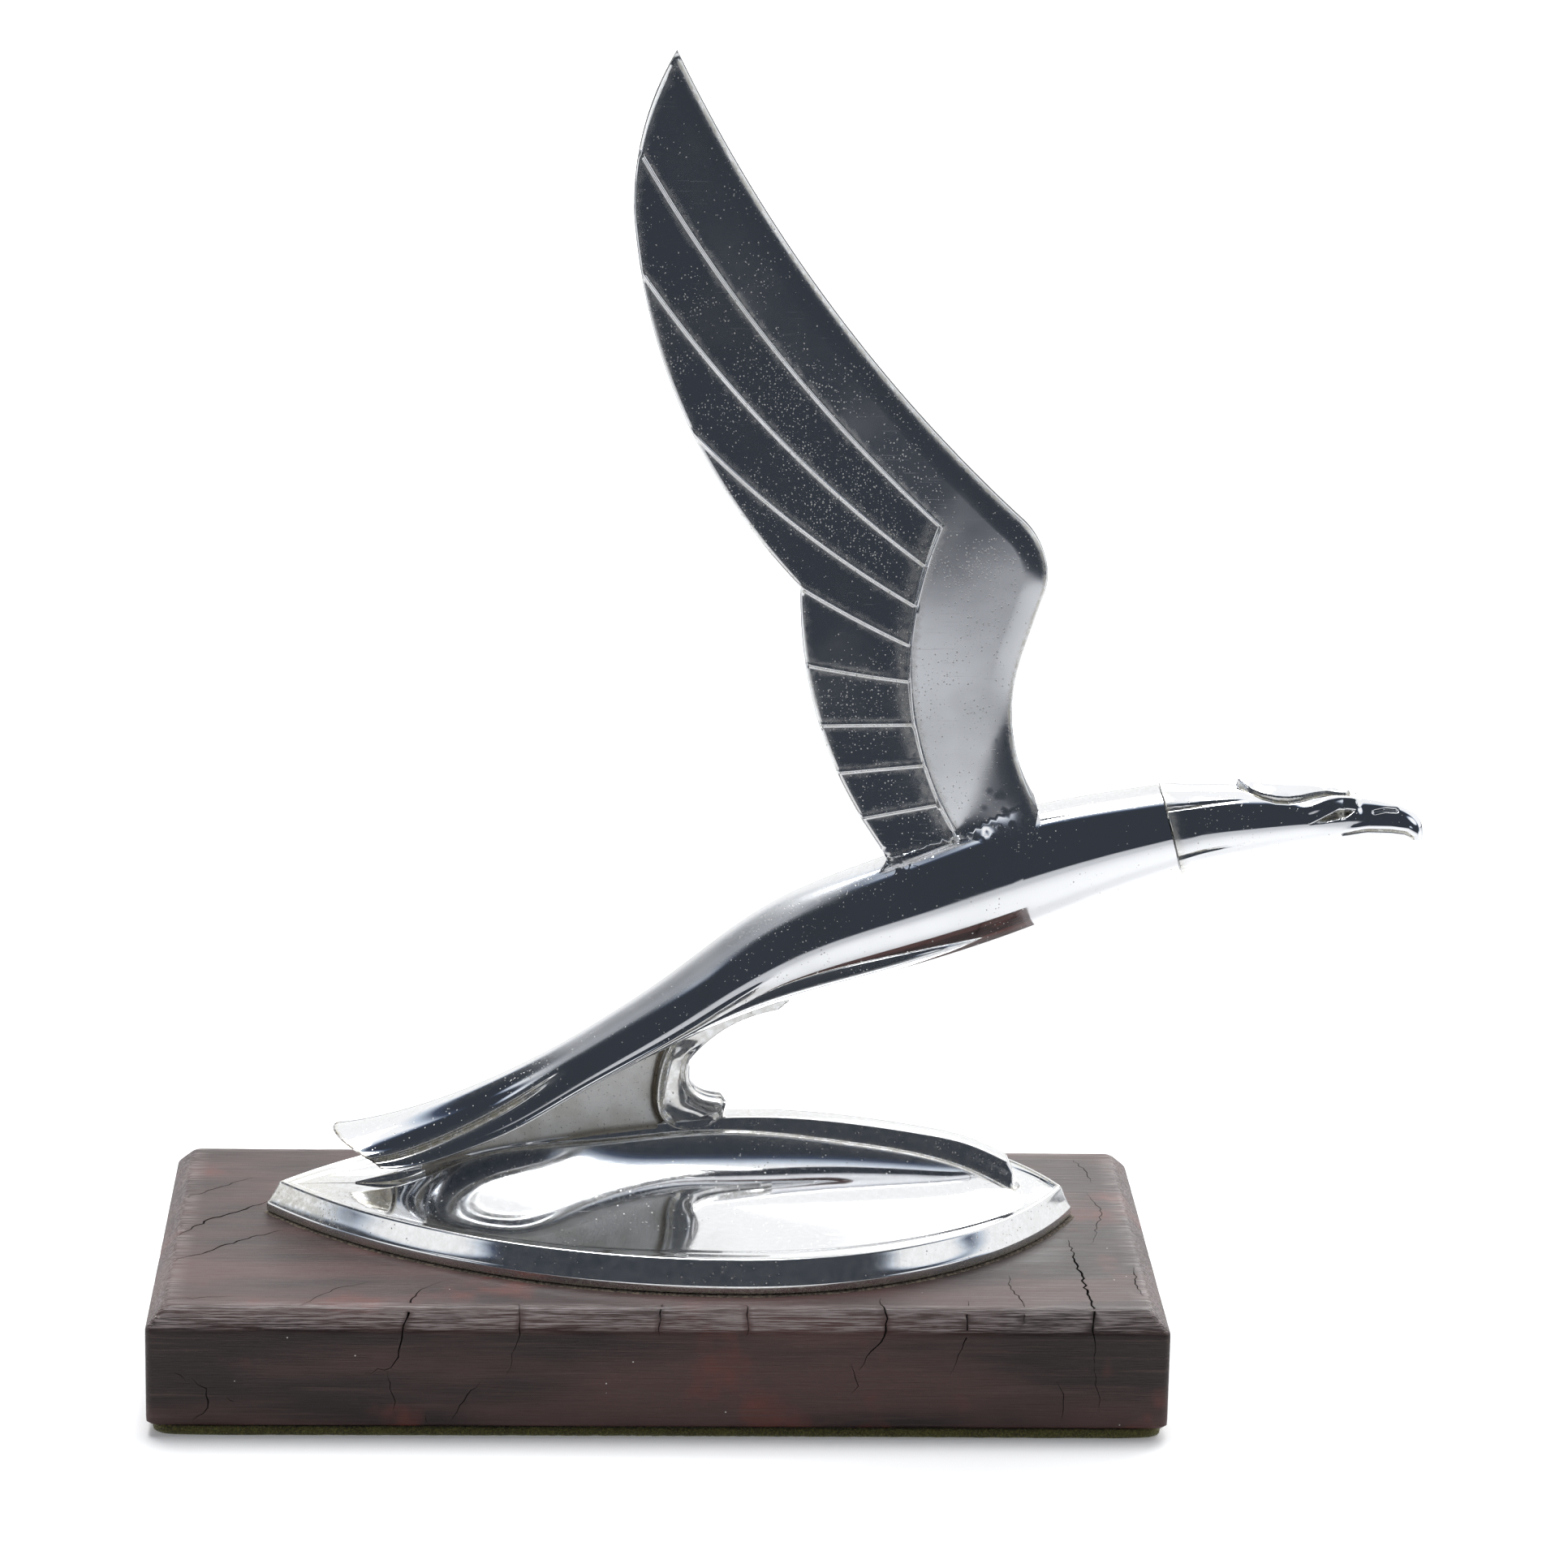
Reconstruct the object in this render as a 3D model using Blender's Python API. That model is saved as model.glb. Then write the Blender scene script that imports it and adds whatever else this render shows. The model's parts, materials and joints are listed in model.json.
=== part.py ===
"""Hood ornament: a chromed flying eagle on a pointed-oval base, screwed to a wooden plinth.

Every number below is in millimetres or degrees, and add_mesh turns millimetres into metres.
The world origin is the centre of the felt's underside, +X points to the beak and +Z is up.
The mascot has its own frame: its origin is on the plinth's top face, under the oval's middle.
"""

import math

import bmesh
import bpy
import numpy as np
from mathutils import Matrix, Vector
from mathutils.geometry import delaunay_2d_cdt

MM = 0.001
GAP = 0.3  # clearance left between pieces that touch
TURN_START = 0.37  # keeps the corners of turned shapes off the mirror plane's edges

# Plinth and felt
FELT_THICK = 1.6
FELT_INSET = 0.8
PLINTH_LENGTH = 178.0
PLINTH_DEPTH = 88.0
PLINTH_TOP = 23.2
BEVEL_OUT = 3.2
BEVEL_DOWN = 3.4
PLINTH_BOTTOM = FELT_THICK + GAP

# Pointed-oval base plate, in the mascot's frame
MASCOT_X = 2.5
MASCOT_Y = 6.0
OVAL_TIP = 73.0
OVAL_PEAK_X = 12.0
OVAL_HALF_WIDTH = 41.3
RIM_WALL = 2.1
DECK_HEIGHT = 5.8
CHAMFER_IN = 1.8
DISH_DIP = 1.3
ROOF_THICK = 2.8
SKIRT_WIDTH = 3.6
RIB_HALF_WIDTH = 2.4
RIB_FOOT_HALF = 4.2
# Rib along the middle, as (x, crest height, height of the dish at its foot)
RIB = [
    (-56.0, 4.6, 4.6),
    (-49.0, 8.6, 7.6),
    (-39.0, 11.7, 10.7),
    (-14.0, 16.5, 15.2),
    (9.0, 18.9, 17.5),
    (31.0, 18.0, 15.6),
    (46.0, 15.8, 13.0),
    (54.0, 14.0, 10.4),
    (61.0, 11.2, 6.8),
    (64.0, 5.0, 5.0),
]

# Bird's body, as (x, z, axis tilt, height above, height below, half width)
BODY = [
    (-56.5, 12.2, 15, 6.0, 0.8, 9.6),
    (-48.0, 12.0, 17, 7.5, 1.1, 8.9),
    (-38.0, 14.6, 22, 8.0, 1.2, 7.6),
    (-28.0, 18.8, 28, 8.2, 1.2, 6.8),
    (-17.0, 25.4, 32, 7.6, 1.3, 6.3),
    (-6.0, 32.0, 33, 8.0, 1.7, 6.5),
    (4.0, 38.4, 33, 8.6, 3.0, 7.1),
    (12.0, 44.0, 31, 9.3, 5.2, 7.7),
    (22.0, 50.2, 28, 10.1, 8.2, 8.3),
    (34.0, 55.6, 26, 10.3, 10.2, 8.8),
    (48.0, 60.6, 24, 10.7, 10.7, 9.0),
    (62.0, 65.9, 20, 10.7, 10.7, 9.0),
    (75.0, 70.2, 17, 9.5, 9.5, 8.6),
    (88.3, 73.8, 15, 8.1, 8.1, 8.1),
]
TAIL_RAKE = 0.55
GROOVE_ANGLE = 46.0
GROOVE_START_X = -16.0
WEB_HALF = 2.1
LEG_HALF = 2.8

# Neck joint: the axis that the head turns about
NECK_X, NECK_Z, NECK_TILT = 88.3, 73.8, 15.0
SOCKET_RADIUS = 5.3
SOCKET_DEPTH = 18.0
SPINDLE_RADIUS = 3.0
SPINDLE_BACK = 15.0
SPINDLE_FRONT = 16.0
PIN_AT = 9.5

# Head, with the same columns as BODY, from the seam to the beak's tip
HEAD = [
    (88.3, 73.8, 15, 8.1, 8.1, 8.1),
    (95.0, 74.8, 10, 7.1, 7.3, 7.5),
    (103.0, 75.6, 5, 6.1, 6.4, 6.8),
    (111.0, 76.2, 1, 5.2, 5.3, 6.0),
    (117.0, 76.4, -3, 4.6, 4.6, 5.2),
    (121.5, 76.3, -7, 4.1, 4.1, 3.9),
    (126.0, 75.9, -13, 3.6, 3.6, 3.0),
    (129.6, 75.2, -26, 3.0, 3.1, 2.5),
    (132.0, 73.9, -52, 1.9, 2.2, 1.9),
    (132.9, 72.2, -82, 0.9, 1.1, 1.0),
]

# Wing outline in the XZ plane: each stretch is an arc to (x, z) with its bow in millimetres
WING_TIP = (-1.5, 212.0)
WING_SHOULDER = (59.5, 131.0)
WING_NOSE = (65.0, 121.0)
WING_FRONT_ROOT = (64.3, 78.4)
TENON_FRONT = (61.5, 66.2)
TENON_REAR = (41.5, 58.6)
WING_REAR_ROOT = (38.0, 67.9)
WING_NOTCH = (21.5, 117.5)
WING_BELLY = (-8.6, 183.5)
COVERT_TOP = (45.8, 129.1)
COVERT_FOOT = (52.4, 69.0)
# Raised quills: start, end, bow
QUILLS = [
    ((-7.9, 195.1), COVERT_TOP, 3.3),
    ((-7.9, 174.7), (43.5, 121.8), 3.1),
    ((2.1, 145.3), (41.9, 114.6), 1.7),
    ((21.6, 117.8), (40.9, 107.5), 0.3),
    ((22.4, 103.9), (40.8, 101.0), 0.2),
    ((25.1, 92.8), (41.6, 93.1), 0.0),
    ((28.6, 84.1), (43.8, 85.6), 0.0),
    ((33.3, 75.8), (46.3, 78.3), 0.0),
    ((38.2, 68.3), (50.6, 71.4), 0.0),
]
COVERT_BOW = 7.8
QUILL_HALF = 0.55
QUILL_RISE = 0.5
WING_THICK = 1.3
WING_EDGE = 0.75
WING_BULGE = 0.7
WING_INNER = 0.2
WING_SPREAD = 0.5 / 146.0
WING_PINS = [(46.0, 63.6), (57.5, 68.0)]

# Fixings
WING_PIN_RADIUS = 1.2
BOLT_X = (-43.0, 40.0)
BOLT_RADIUS = 2.5
BOSS_RADIUS = 5.2
COUNTERBORE_RADIUS = 7.0
COUNTERBORE_DEPTH = 8.0
SCREW_X = {"tail": -26.0, "leg": 2.0}
SCREW_TOP = {"tail": 21.5, "leg": 29.0}
SCREW_RADIUS = 1.25

CHROME = ("chrome_plate", (0.78, 0.78, 0.77), 0.12, 1.0)
STEEL = ("fastener_steel", (0.56, 0.57, 0.58), 0.32, 1.0)
BRASS = ("bush_brass", (0.72, 0.53, 0.25), 0.30, 1.0)
WOOD = ("dark_wood", (0.14, 0.075, 0.06), 0.62, 0.0)
FELT = ("green_felt", (0.17, 0.19, 0.06), 0.95, 0.0)

MASCOT = Matrix.Translation(Vector((MASCOT_X, MASCOT_Y, PLINTH_TOP)))
NECK_AXIS = Vector((math.cos(math.radians(NECK_TILT)), 0.0, math.sin(math.radians(NECK_TILT))))
NECK_UP = NECK_AXIS.cross(Vector((0, 1, 0)))
NECK_POINT = Vector((NECK_X, 0.0, NECK_Z))


# ---- meshes ----


def material_of(node, look):
    """One Principled material for each node, from a (slot, colour, roughness, metallic) look."""
    slot, colour, roughness, metallic = look
    material = bpy.data.materials.new(f"{slot}_{node}")
    material.use_nodes = True
    shader = material.node_tree.nodes["Principled BSDF"]
    shader.inputs["Base Color"].default_value = (*colour, 1.0)
    shader.inputs["Roughness"].default_value = roughness
    shader.inputs["Metallic"].default_value = metallic
    material.diffuse_color = (*colour, 1.0)
    return material


def add_mesh(name, points, faces, look=None, sharp=35.0):
    """An object from millimetre points. With no look it is a helper for a Boolean."""
    mesh = bpy.data.meshes.new(name)
    mesh.from_pydata([tuple(float(c) * MM for c in p) for p in points], [], faces)
    work = bmesh.new()
    work.from_mesh(mesh)
    bmesh.ops.triangulate(work, faces=work.faces)
    bmesh.ops.recalc_face_normals(work, faces=work.faces)
    if work.calc_volume(signed=True) < 0:
        bmesh.ops.reverse_faces(work, faces=work.faces)
    work.to_mesh(mesh)
    work.free()
    obj = bpy.data.objects.new(name, mesh)
    bpy.context.scene.collection.objects.link(obj)
    if look is None:
        obj.hide_render = True
        obj.display_type = "WIRE"
    else:
        mesh.materials.append(material_of(name, look))
        mesh.shade_smooth()
        mesh.set_sharp_from_angle(angle=math.radians(sharp))
    return obj


def boolean(obj, operation, *others):
    """One Boolean modifier of obj with other objects, all at once."""
    group = bpy.data.collections.new(f"{operation.lower()}_{others[0].name}")
    bpy.context.scene.collection.children.link(group)
    for other in others:
        bpy.context.scene.collection.objects.unlink(other)
        group.objects.link(other)
    modifier = obj.modifiers.new(group.name, "BOOLEAN")
    modifier.operation = operation
    modifier.solver = "EXACT"
    modifier.operand_type = "COLLECTION"
    modifier.collection = group


def loft(name, rings, look=None, sharp=35.0):
    """Closes equal rings of points into one skin with flat ends."""
    count = len(rings[0])
    points = [p for ring in rings for p in ring]
    faces = [tuple(range(count - 1, -1, -1))]
    for row in range(len(rings) - 1):
        for i in range(count):
            a = row * count + i
            b = row * count + (i + 1) % count
            faces.append((a, b, b + count, a + count))
    faces.append(tuple(range((len(rings) - 1) * count, len(rings) * count)))
    return add_mesh(name, points, faces, look, sharp)


def turned(name, profile, foot, axis, look=None, segments=28):
    """Turns a profile of (along, radius) about an axis. A profile that ends off the axis is a ring."""
    axis = Vector(axis).normalized()
    across = axis.orthogonal().normalized()
    side = axis.cross(across)
    points, rows = [], []
    for along, radius in profile:
        centre = Vector(foot) + axis * along
        if radius == 0.0:
            rows.append([len(points)] * segments)
            points.append(centre)
            continue
        rows.append([len(points) + i for i in range(segments)])
        for i in range(segments):
            angle = 2.0 * math.pi * (i + TURN_START) / segments
            points.append(centre + (across * math.cos(angle) + side * math.sin(angle)) * radius)
    pairs = list(zip(rows, rows[1:]))
    if profile[0][1] != 0.0:
        pairs.append((rows[-1], rows[0]))
    faces = []
    for low, high in pairs:
        for i in range(segments):
            j = (i + 1) % segments
            corners = list(dict.fromkeys((low[i], low[j], high[j], high[i])))
            if len(corners) > 2:
                faces.append(corners)
    return add_mesh(name, points, faces, look)


def slab(name, outline, low, high, plane="XZ", look=None):
    """A flat plate: an outline in the XZ or the XY plane, drawn out along the third axis."""

    def lifted(value):
        if plane == "XZ":
            return [(x, value, z) for x, z in outline]
        return [(x, y, value) for x, y in outline]

    return loft(name, [lifted(low), lifted(high)], look)


def arc(start, end, bow, steps):
    """Points of a shallow arc after its start. The bow is to the left of the way it goes."""
    start, end = np.array(start, float), np.array(end, float)
    along = end - start
    left = np.array((-along[1], along[0])) / np.hypot(*along)
    share = np.linspace(0.0, 1.0, steps + 1)[1:, None]
    return [tuple(p) for p in start + along * share + left * (4.0 * bow * share * (1.0 - share))]


def row_at(stations, value):
    """The stations' columns at one value of the first column, on a smooth curve through them."""
    table = np.array(stations, float)
    slope = np.gradient(table, table[:, 0], axis=0)
    i = int(np.clip(np.searchsorted(table[:, 0], value) - 1, 0, len(table) - 2))
    width = table[i + 1, 0] - table[i, 0]
    t = min(1.0, max(0.0, (value - table[i, 0]) / width))
    return (
        table[i] * (2 * t**3 - 3 * t**2 + 1)
        + slope[i] * width * (t**3 - 2 * t**2 + t)
        + table[i + 1] * (3 * t**2 - 2 * t**3)
        + slope[i + 1] * width * (t**3 - t**2)
    )


def through(stations, count):
    """Rows that run smoothly through the stations, evenly spread in the first column."""
    return [row_at(stations, value) for value in np.linspace(stations[0][0], stations[-1][0], count)]


# ---- plinth and felt ----


def rectangle(half_x, half_y, corner):
    """A rectangle with small rounded corners."""
    points = []
    for turn, (sx, sy) in enumerate(((1, -1), (1, 1), (-1, 1), (-1, -1))):
        for step in range(3):
            angle = math.radians(90.0 * turn - 90.0 + 45.0 * step)
            points.append(
                (
                    sx * (half_x - corner) + corner * math.cos(angle),
                    sy * (half_y - corner) + corner * math.sin(angle),
                )
            )
    return points


def make_plinth():
    half_x, half_y = PLINTH_LENGTH / 2, PLINTH_DEPTH / 2
    levels = [
        (PLINTH_BOTTOM, 0.5),
        (PLINTH_BOTTOM + 0.5, 0.0),
        (PLINTH_TOP - BEVEL_DOWN, 0.0),
        (PLINTH_TOP - 0.3, BEVEL_OUT - 0.3),
        (PLINTH_TOP, BEVEL_OUT + 0.3),
    ]
    rings = []
    for height, inset in levels:
        outline = rectangle(half_x - inset, half_y - inset, 0.9)
        rings.append([(x, y, height) for x, y in outline])
    plinth = loft("plinth_block", rings, WOOD)
    bores = []
    for number, x in enumerate(BOLT_X):
        place = (MASCOT_X + x, MASCOT_Y, PLINTH_BOTTOM - 1.0)
        depth = COUNTERBORE_DEPTH + 1.0
        bore = [
            (0.0, 0.0),
            (0.0, COUNTERBORE_RADIUS),
            (depth, COUNTERBORE_RADIUS),
            (depth, BOLT_RADIUS + 0.4),
            (PLINTH_TOP + 2.0, BOLT_RADIUS + 0.4),
            (PLINTH_TOP + 2.0, 0.0),
        ]
        bores.append(turned(f"cut_bolt_{number}", bore, place, (0, 0, 1)))
    boolean(plinth, "DIFFERENCE", *bores)
    felt = rectangle(half_x - FELT_INSET, half_y - FELT_INSET, 1.5)
    slab("felt_pad", felt, 0.0, FELT_THICK, "XY", FELT)


# ---- base plate ----


def oval_radius(x):
    """Each end of the oval is one arc; this is its radius, from the tip and the widest point."""
    reach = OVAL_TIP + OVAL_PEAK_X if x < OVAL_PEAK_X else OVAL_TIP - OVAL_PEAK_X
    return (reach**2 + OVAL_HALF_WIDTH**2) / (2.0 * OVAL_HALF_WIDTH)


def half_width(x, inset=0.0):
    """Half the oval's width at x, for the outline brought in by an inset. Zero beyond its tips."""
    radius = oval_radius(x)
    inside = (radius - inset) ** 2 - (x - OVAL_PEAK_X) ** 2
    return max(0.0, math.sqrt(max(0.0, inside)) - radius + OVAL_HALF_WIDTH)


def dish_height(x, y):
    """Height of the dished face that sweeps up from the deck's edge to the rib's foot."""
    edge = half_width(x, CHAMFER_IN)
    foot = row_at(RIB, x)[2] if RIB[0][0] < x < RIB[-1][0] else RIB[0][1]
    depth = min(1.0, edge / 14.0)
    share = min(1.0, max(0.0, (edge - abs(y)) / max(edge - RIB_FOOT_HALF, 0.1)))
    dip = DISH_DIP * depth * math.sin(math.pi * share) ** 0.8
    deck = DECK_HEIGHT if edge > 0.0 else RIM_WALL
    return deck + (foot - deck) * depth * share**2.2 - dip


def base_section(x):
    """The base's top across one x, from the far wall's foot to the near one's, as (y, z)."""
    wall, edge = half_width(x), half_width(x, CHAMFER_IN)
    if edge <= 0.0:
        edge = 0.55 * wall
    crest = row_at(RIB, x)[1] if RIB[0][0] < x < RIB[-1][0] else dish_height(x, 0.0)
    shrink = min(1.0, 0.8 * edge / RIB_FOOT_HALF)
    rise = crest - dish_height(x, 0.0)
    foot, half = RIB_FOOT_HALF * shrink, RIB_HALF_WIDTH * shrink
    side = [(wall, GAP), (wall, RIM_WALL), (edge, dish_height(x, edge))]
    for share in (0.06, 0.2, 0.4, 0.6, 0.8, 1.0):
        y = edge + (foot - edge) * share
        side.append((y, dish_height(x, y)))
    side.append((half + 0.25 * (foot - half), crest - 0.75 * rise))
    side.append((half, crest - 0.25 * rise))
    side.append((half * 0.8, crest))
    return side + [(-y, z) for y, z in side[::-1]]


def spaced(start, end, count, extra=()):
    """Stations that close up toward both ends, with some extra ones between."""
    turn = np.linspace(0.0, math.pi, count)
    return sorted([*(start + (end - start) * (0.5 - 0.5 * np.cos(turn))), *extra])


def drilled(name, x, radius, low, high):
    """A helper cylinder on the mascot's middle plane, from one height to another."""
    profile = [(low, 0.0), (low, radius), (high, radius), (high, 0.0)]
    return turned(name, profile, (x, 0, 0), (0, 0, 1))


def make_base():
    stations = spaced(0.1 - OVAL_TIP, OVAL_TIP - 0.1, 28, (-55.0, -49.5, 61.0, 63.5))
    rings = [[(x, y, z) for y, z in base_section(x)] for x in stations]
    base = loft("base_plate", rings, CHROME)
    tips = 3.0 + SKIRT_WIDTH
    rings = []
    for x in spaced(tips - OVAL_TIP, OVAL_TIP - tips, 16):
        inner = half_width(x, SKIRT_WIDTH)
        side = [(inner, -2.0)]
        for share in (1.0, 0.85, 0.65, 0.45, 0.25, 0.12):
            side.append((inner * share, dish_height(x, inner * share) - ROOF_THICK))
        rings.append([(x, y, z) for y, z in side + [(-y, z) for y, z in side[::-1]]])
    boolean(base, "DIFFERENCE", loft("cut_hollow", rings))
    bosses, holes = [], []
    for number, x in enumerate(BOLT_X):
        top = dish_height(x, 0.0) - 1.2
        boss = [(0.8, 0.0), (0.8, BOSS_RADIUS), (top, BOSS_RADIUS), (top, 0.0)]
        bosses.append(turned(f"join_boss_{number}", boss, (x, 0, 0), (0, 0, 1)))
        holes.append(drilled(f"cut_tap_{number}", x, BOLT_RADIUS + GAP, -1.0, bolt_reach(x) + 0.5))
    for end, x in SCREW_X.items():
        holes.append(drilled(f"cut_screw_{end}", x, SCREW_RADIUS + GAP, 1.0, 25.0))
        holes.append(drilled(f"cut_seat_{end}", x, 4.0, 1.0, screw_seat(x)))
    boolean(base, "UNION", *bosses)
    boolean(base, "DIFFERENCE", *holes)
    base.matrix_world = MASCOT_METRES
    return base


def bolt_reach(x):
    """How far a plinth bolt goes up into its boss."""
    return dish_height(x, 0.0) - 2.4


def screw_seat(x):
    """Height of the flat that a body screw's washer bears on, under the roof."""
    return dish_height(x, 0.0) - 3.0


# ---- body ----


def station_ring(row, segments, crisp=1.0, rake=0.0, groove=0.0):
    """A cross-section: half an ellipse above the side line and a flatter one below it."""
    x, z, tilt, above, below, half = row
    tilt = math.radians(tilt)
    ring = []
    for i in range(segments):
        angle = 2.0 * math.pi * i / segments
        up = math.cos(angle)
        height = up * (above if up > 0 else below)
        out = math.sin(angle) * half
        near = abs(math.degrees(math.atan2(abs(math.sin(angle)), up)) - GROOVE_ANGLE)
        dent = 1.0 - groove * max(0.0, 1.0 - near / 9.5)
        height, out = height * dent, out * dent
        back = rake * max(0.0, height)
        ring.append(
            (
                x - height * math.sin(tilt) - back * math.cos(tilt),
                -out,
                z + height * math.cos(tilt) - back * math.sin(tilt),
            )
        )
    return ring


def body_rings(segments, count):
    rings = []
    for row in through(BODY, count):
        tail = min(1.0, max(0.0, (GROOVE_START_X - row[0]) / 38.0))
        rings.append(station_ring(row, segments, rake=TAIL_RAKE * tail**3, groove=0.13 * tail**0.6))
    face = [Vector(p) - NECK_AXIS * (GAP / 2) for p in station_ring(BODY[-1], segments)]
    rings[-1] = face
    return rings


def crest_at(x):
    return float(row_at(RIB, x)[1])


def web_outline():
    """The thin web under the tail, from the rib's crest up into the body."""
    foot = [(x, crest_at(x) + GAP) for x in np.linspace(-45.0, 0.0, 8)]
    into_body = [(6.0, 36.0), (-6.0, 34.0), (-17.0, 27.5), (-28.0, 21.0), (-38.0, 17.0), (-44.0, 14.5)]
    return foot + into_body


def leg_outline():
    """The leg's curl: down from the belly, back round the heel and forward to the toe."""
    belly, shin, toe = (19.0, 39.8), (3.3, 30.3), (9.0, 22.6)
    front = [(26.0, 46.0), belly, *arc(belly, shin, -1.8, 5), *arc(shin, toe, -2.9, 6)]
    sole = [(10.0, 21.2), (6.2, crest_at(6.2) + GAP), (-0.5, crest_at(-0.5) + GAP)]
    back = [*arc(sole[-1], (-2.8, 26.4), 1.0, 4), (2.0, 38.0), (12.0, 46.0)]
    return front + sole + back


def make_body():
    body = loft("body", body_rings(26, 26), CHROME, 40.0)
    web = slab("join_web", web_outline(), -WEB_HALF, WEB_HALF)
    leg = slab("join_leg", leg_outline(), -LEG_HALF, LEG_HALF)
    boolean(body, "UNION", web, leg)
    socket = [
        (-SOCKET_DEPTH - 2.5, 0.0),
        (-SOCKET_DEPTH, SOCKET_RADIUS),
        (3.0, SOCKET_RADIUS),
        (3.0, 0.0),
    ]
    cuts = [turned("cut_socket", socket, NECK_POINT, NECK_AXIS, segments=36)]
    slot = [
        (TENON_FRONT[0] + 4.6, TENON_FRONT[1] + 17.0),
        (TENON_FRONT[0] + 0.5, TENON_FRONT[1] - 0.4),
        (TENON_REAR[0] - 0.6, TENON_REAR[1] - 0.5),
        (WING_REAR_ROOT[0] - 3.2, WING_REAR_ROOT[1] + 8.0),
    ]
    slot_half = WING_INNER + WING_THICK + WING_BULGE + 2 * GAP
    cuts.append(slab("cut_slot", slot, -slot_half, slot_half))
    for number, (x, z) in enumerate(WING_PINS):
        radius = WING_PIN_RADIUS + GAP
        hole = [(-5.3, 0.0), (-5.3, radius), (12.0, radius), (12.0, 0.0)]
        cuts.append(turned(f"cut_pin_{number}", hole, (x, 0, z), (0, 1, 0)))
    for end, x in SCREW_X.items():
        cuts.append(drilled(f"cut_thread_{end}", x, SCREW_RADIUS + GAP, 1.0, SCREW_TOP[end] + 0.5))
    boolean(body, "DIFFERENCE", *cuts)
    body.matrix_world = MASCOT_METRES
    return body


# ---- wings ----


def wing_outline():
    return [
        *arc(WING_TIP, WING_SHOULDER, -4.7, 16),
        *arc(WING_SHOULDER, WING_NOSE, 0.9, 5),
        *arc(WING_NOSE, WING_FRONT_ROOT, -3.9, 9),
        *arc(WING_FRONT_ROOT, TENON_FRONT, 0.0, 2),
        *arc(TENON_FRONT, TENON_REAR, 0.0, 2),
        *arc(TENON_REAR, WING_REAR_ROOT, 0.0, 1),
        *arc(WING_REAR_ROOT, WING_NOTCH, 4.4, 9),
        *arc(WING_NOTCH, WING_BELLY, 6.4, 12),
        *arc(WING_BELLY, WING_TIP, 2.1, 6),
    ]


def offset(line, distance):
    """A line moved sideways, to the left of the way it runs."""
    line = np.array(line, float)
    step = np.gradient(line, axis=0)
    left = np.stack([-step[:, 1], step[:, 0]], axis=1)
    return line + distance * left / np.linalg.norm(left, axis=1)[:, None]


def distance_to(line, x, z):
    """Shortest distance from a point to a polyline."""
    line = np.array(line, float)
    start, along = line[:-1], np.diff(line, axis=0)
    rel = np.array((x, z)) - start
    share = np.clip((rel * along).sum(axis=1) / (along**2).sum(axis=1), 0.0, 1.0)
    return float(np.linalg.norm(rel - along * share[:, None], axis=1).min())


def quill_lines():
    lines = [[start, *arc(start, end, -bow, 12 if bow > 1 else 6)] for start, end, bow in QUILLS]
    lines.append([COVERT_TOP, *arc(COVERT_TOP, COVERT_FOOT, -COVERT_BOW, 12)])
    return lines


def wing_thickness(x, z, lines, leading, outline):
    """Thickness of one wing: a plate with a fuller leading panel, raised quills and a thin rim."""
    thick = WING_THICK + WING_BULGE * math.exp(-(((distance_to(leading, x, z) - 6.0) / 5.0) ** 2))
    near = min(distance_to(line, x, z) for line in lines)
    rise = QUILL_RISE * max(0.0, 1.0 - near / QUILL_HALF)
    rim = min(1.0, distance_to(outline, x, z) / 0.8)
    return WING_EDGE + (thick + rise - WING_EDGE) * rim


def make_wing(name, side):
    outline = wing_outline()
    closed = outline + outline[:1]
    leading = [WING_TIP, *outline[:30]]
    lines = quill_lines()
    points, edges = [], []

    def add_line(line, loop=False):
        first = len(points)
        points.extend(Vector(p) for p in line)
        edges.extend((first + i, first + i + 1) for i in range(len(line) - 1))
        if loop:
            edges.append((len(points) - 1, first))

    add_line(outline, loop=True)
    for line in lines:
        for shift in (-QUILL_HALF, 0.0, QUILL_HALF):
            add_line(offset(line, shift))
    add_line(offset(leading[1:-1], -0.8))
    add_line(offset(leading[2:-2], -5.5))
    made, _, faces, _, _, _ = delaunay_2d_cdt(points, edges, [], 1, 1e-3)
    count = len(made)
    skin = []
    for x, z in made:
        inner = WING_INNER + WING_SPREAD * (z - 66.0)
        skin.append((x, z, inner, inner + wing_thickness(x, z, lines, leading, closed)))
    outer = [(x, side * far, z) for x, z, _, far in skin]
    inner = [(x, side * near, z) for x, z, near, _ in skin]
    used = {}
    for face in faces:
        for a, b in zip(face, (*face[1:], face[0])):
            used[(a, b)] = used.get((a, b), 0) + 1
    border = [(a, b) for a, b in used if (b, a) not in used]
    shell = [tuple(face) for face in faces]
    shell += [tuple(i + count for i in reversed(face)) for face in faces]
    shell += [(b, a, a + count, b + count) for a, b in border]
    wing = add_mesh(name, outer + inner, shell, CHROME, 30.0)
    holes = []
    for number, (x, z) in enumerate(WING_PINS):
        radius = WING_PIN_RADIUS + GAP
        hole = [(-9.0, 0.0), (-9.0, radius), (9.0, radius), (9.0, 0.0)]
        holes.append(turned(f"cut_{name}_{number}", hole, (x, 0, z), (0, 1, 0)))
    boolean(wing, "DIFFERENCE", *holes)
    wing.matrix_world = MASCOT_METRES
    return wing


# ---- head and neck joint ----


def along_neck(distance):
    """A point on the neck's axis, measured forward from the seam."""
    return NECK_POINT + NECK_AXIS * distance


def head_rings(segments, count):
    rings = []
    for row in through(HEAD, count):
        rings.append(station_ring(row, segments))
    rings[0] = [Vector(p) + NECK_AXIS * (GAP / 2) for p in station_ring(HEAD[0], segments)]
    return rings


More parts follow.
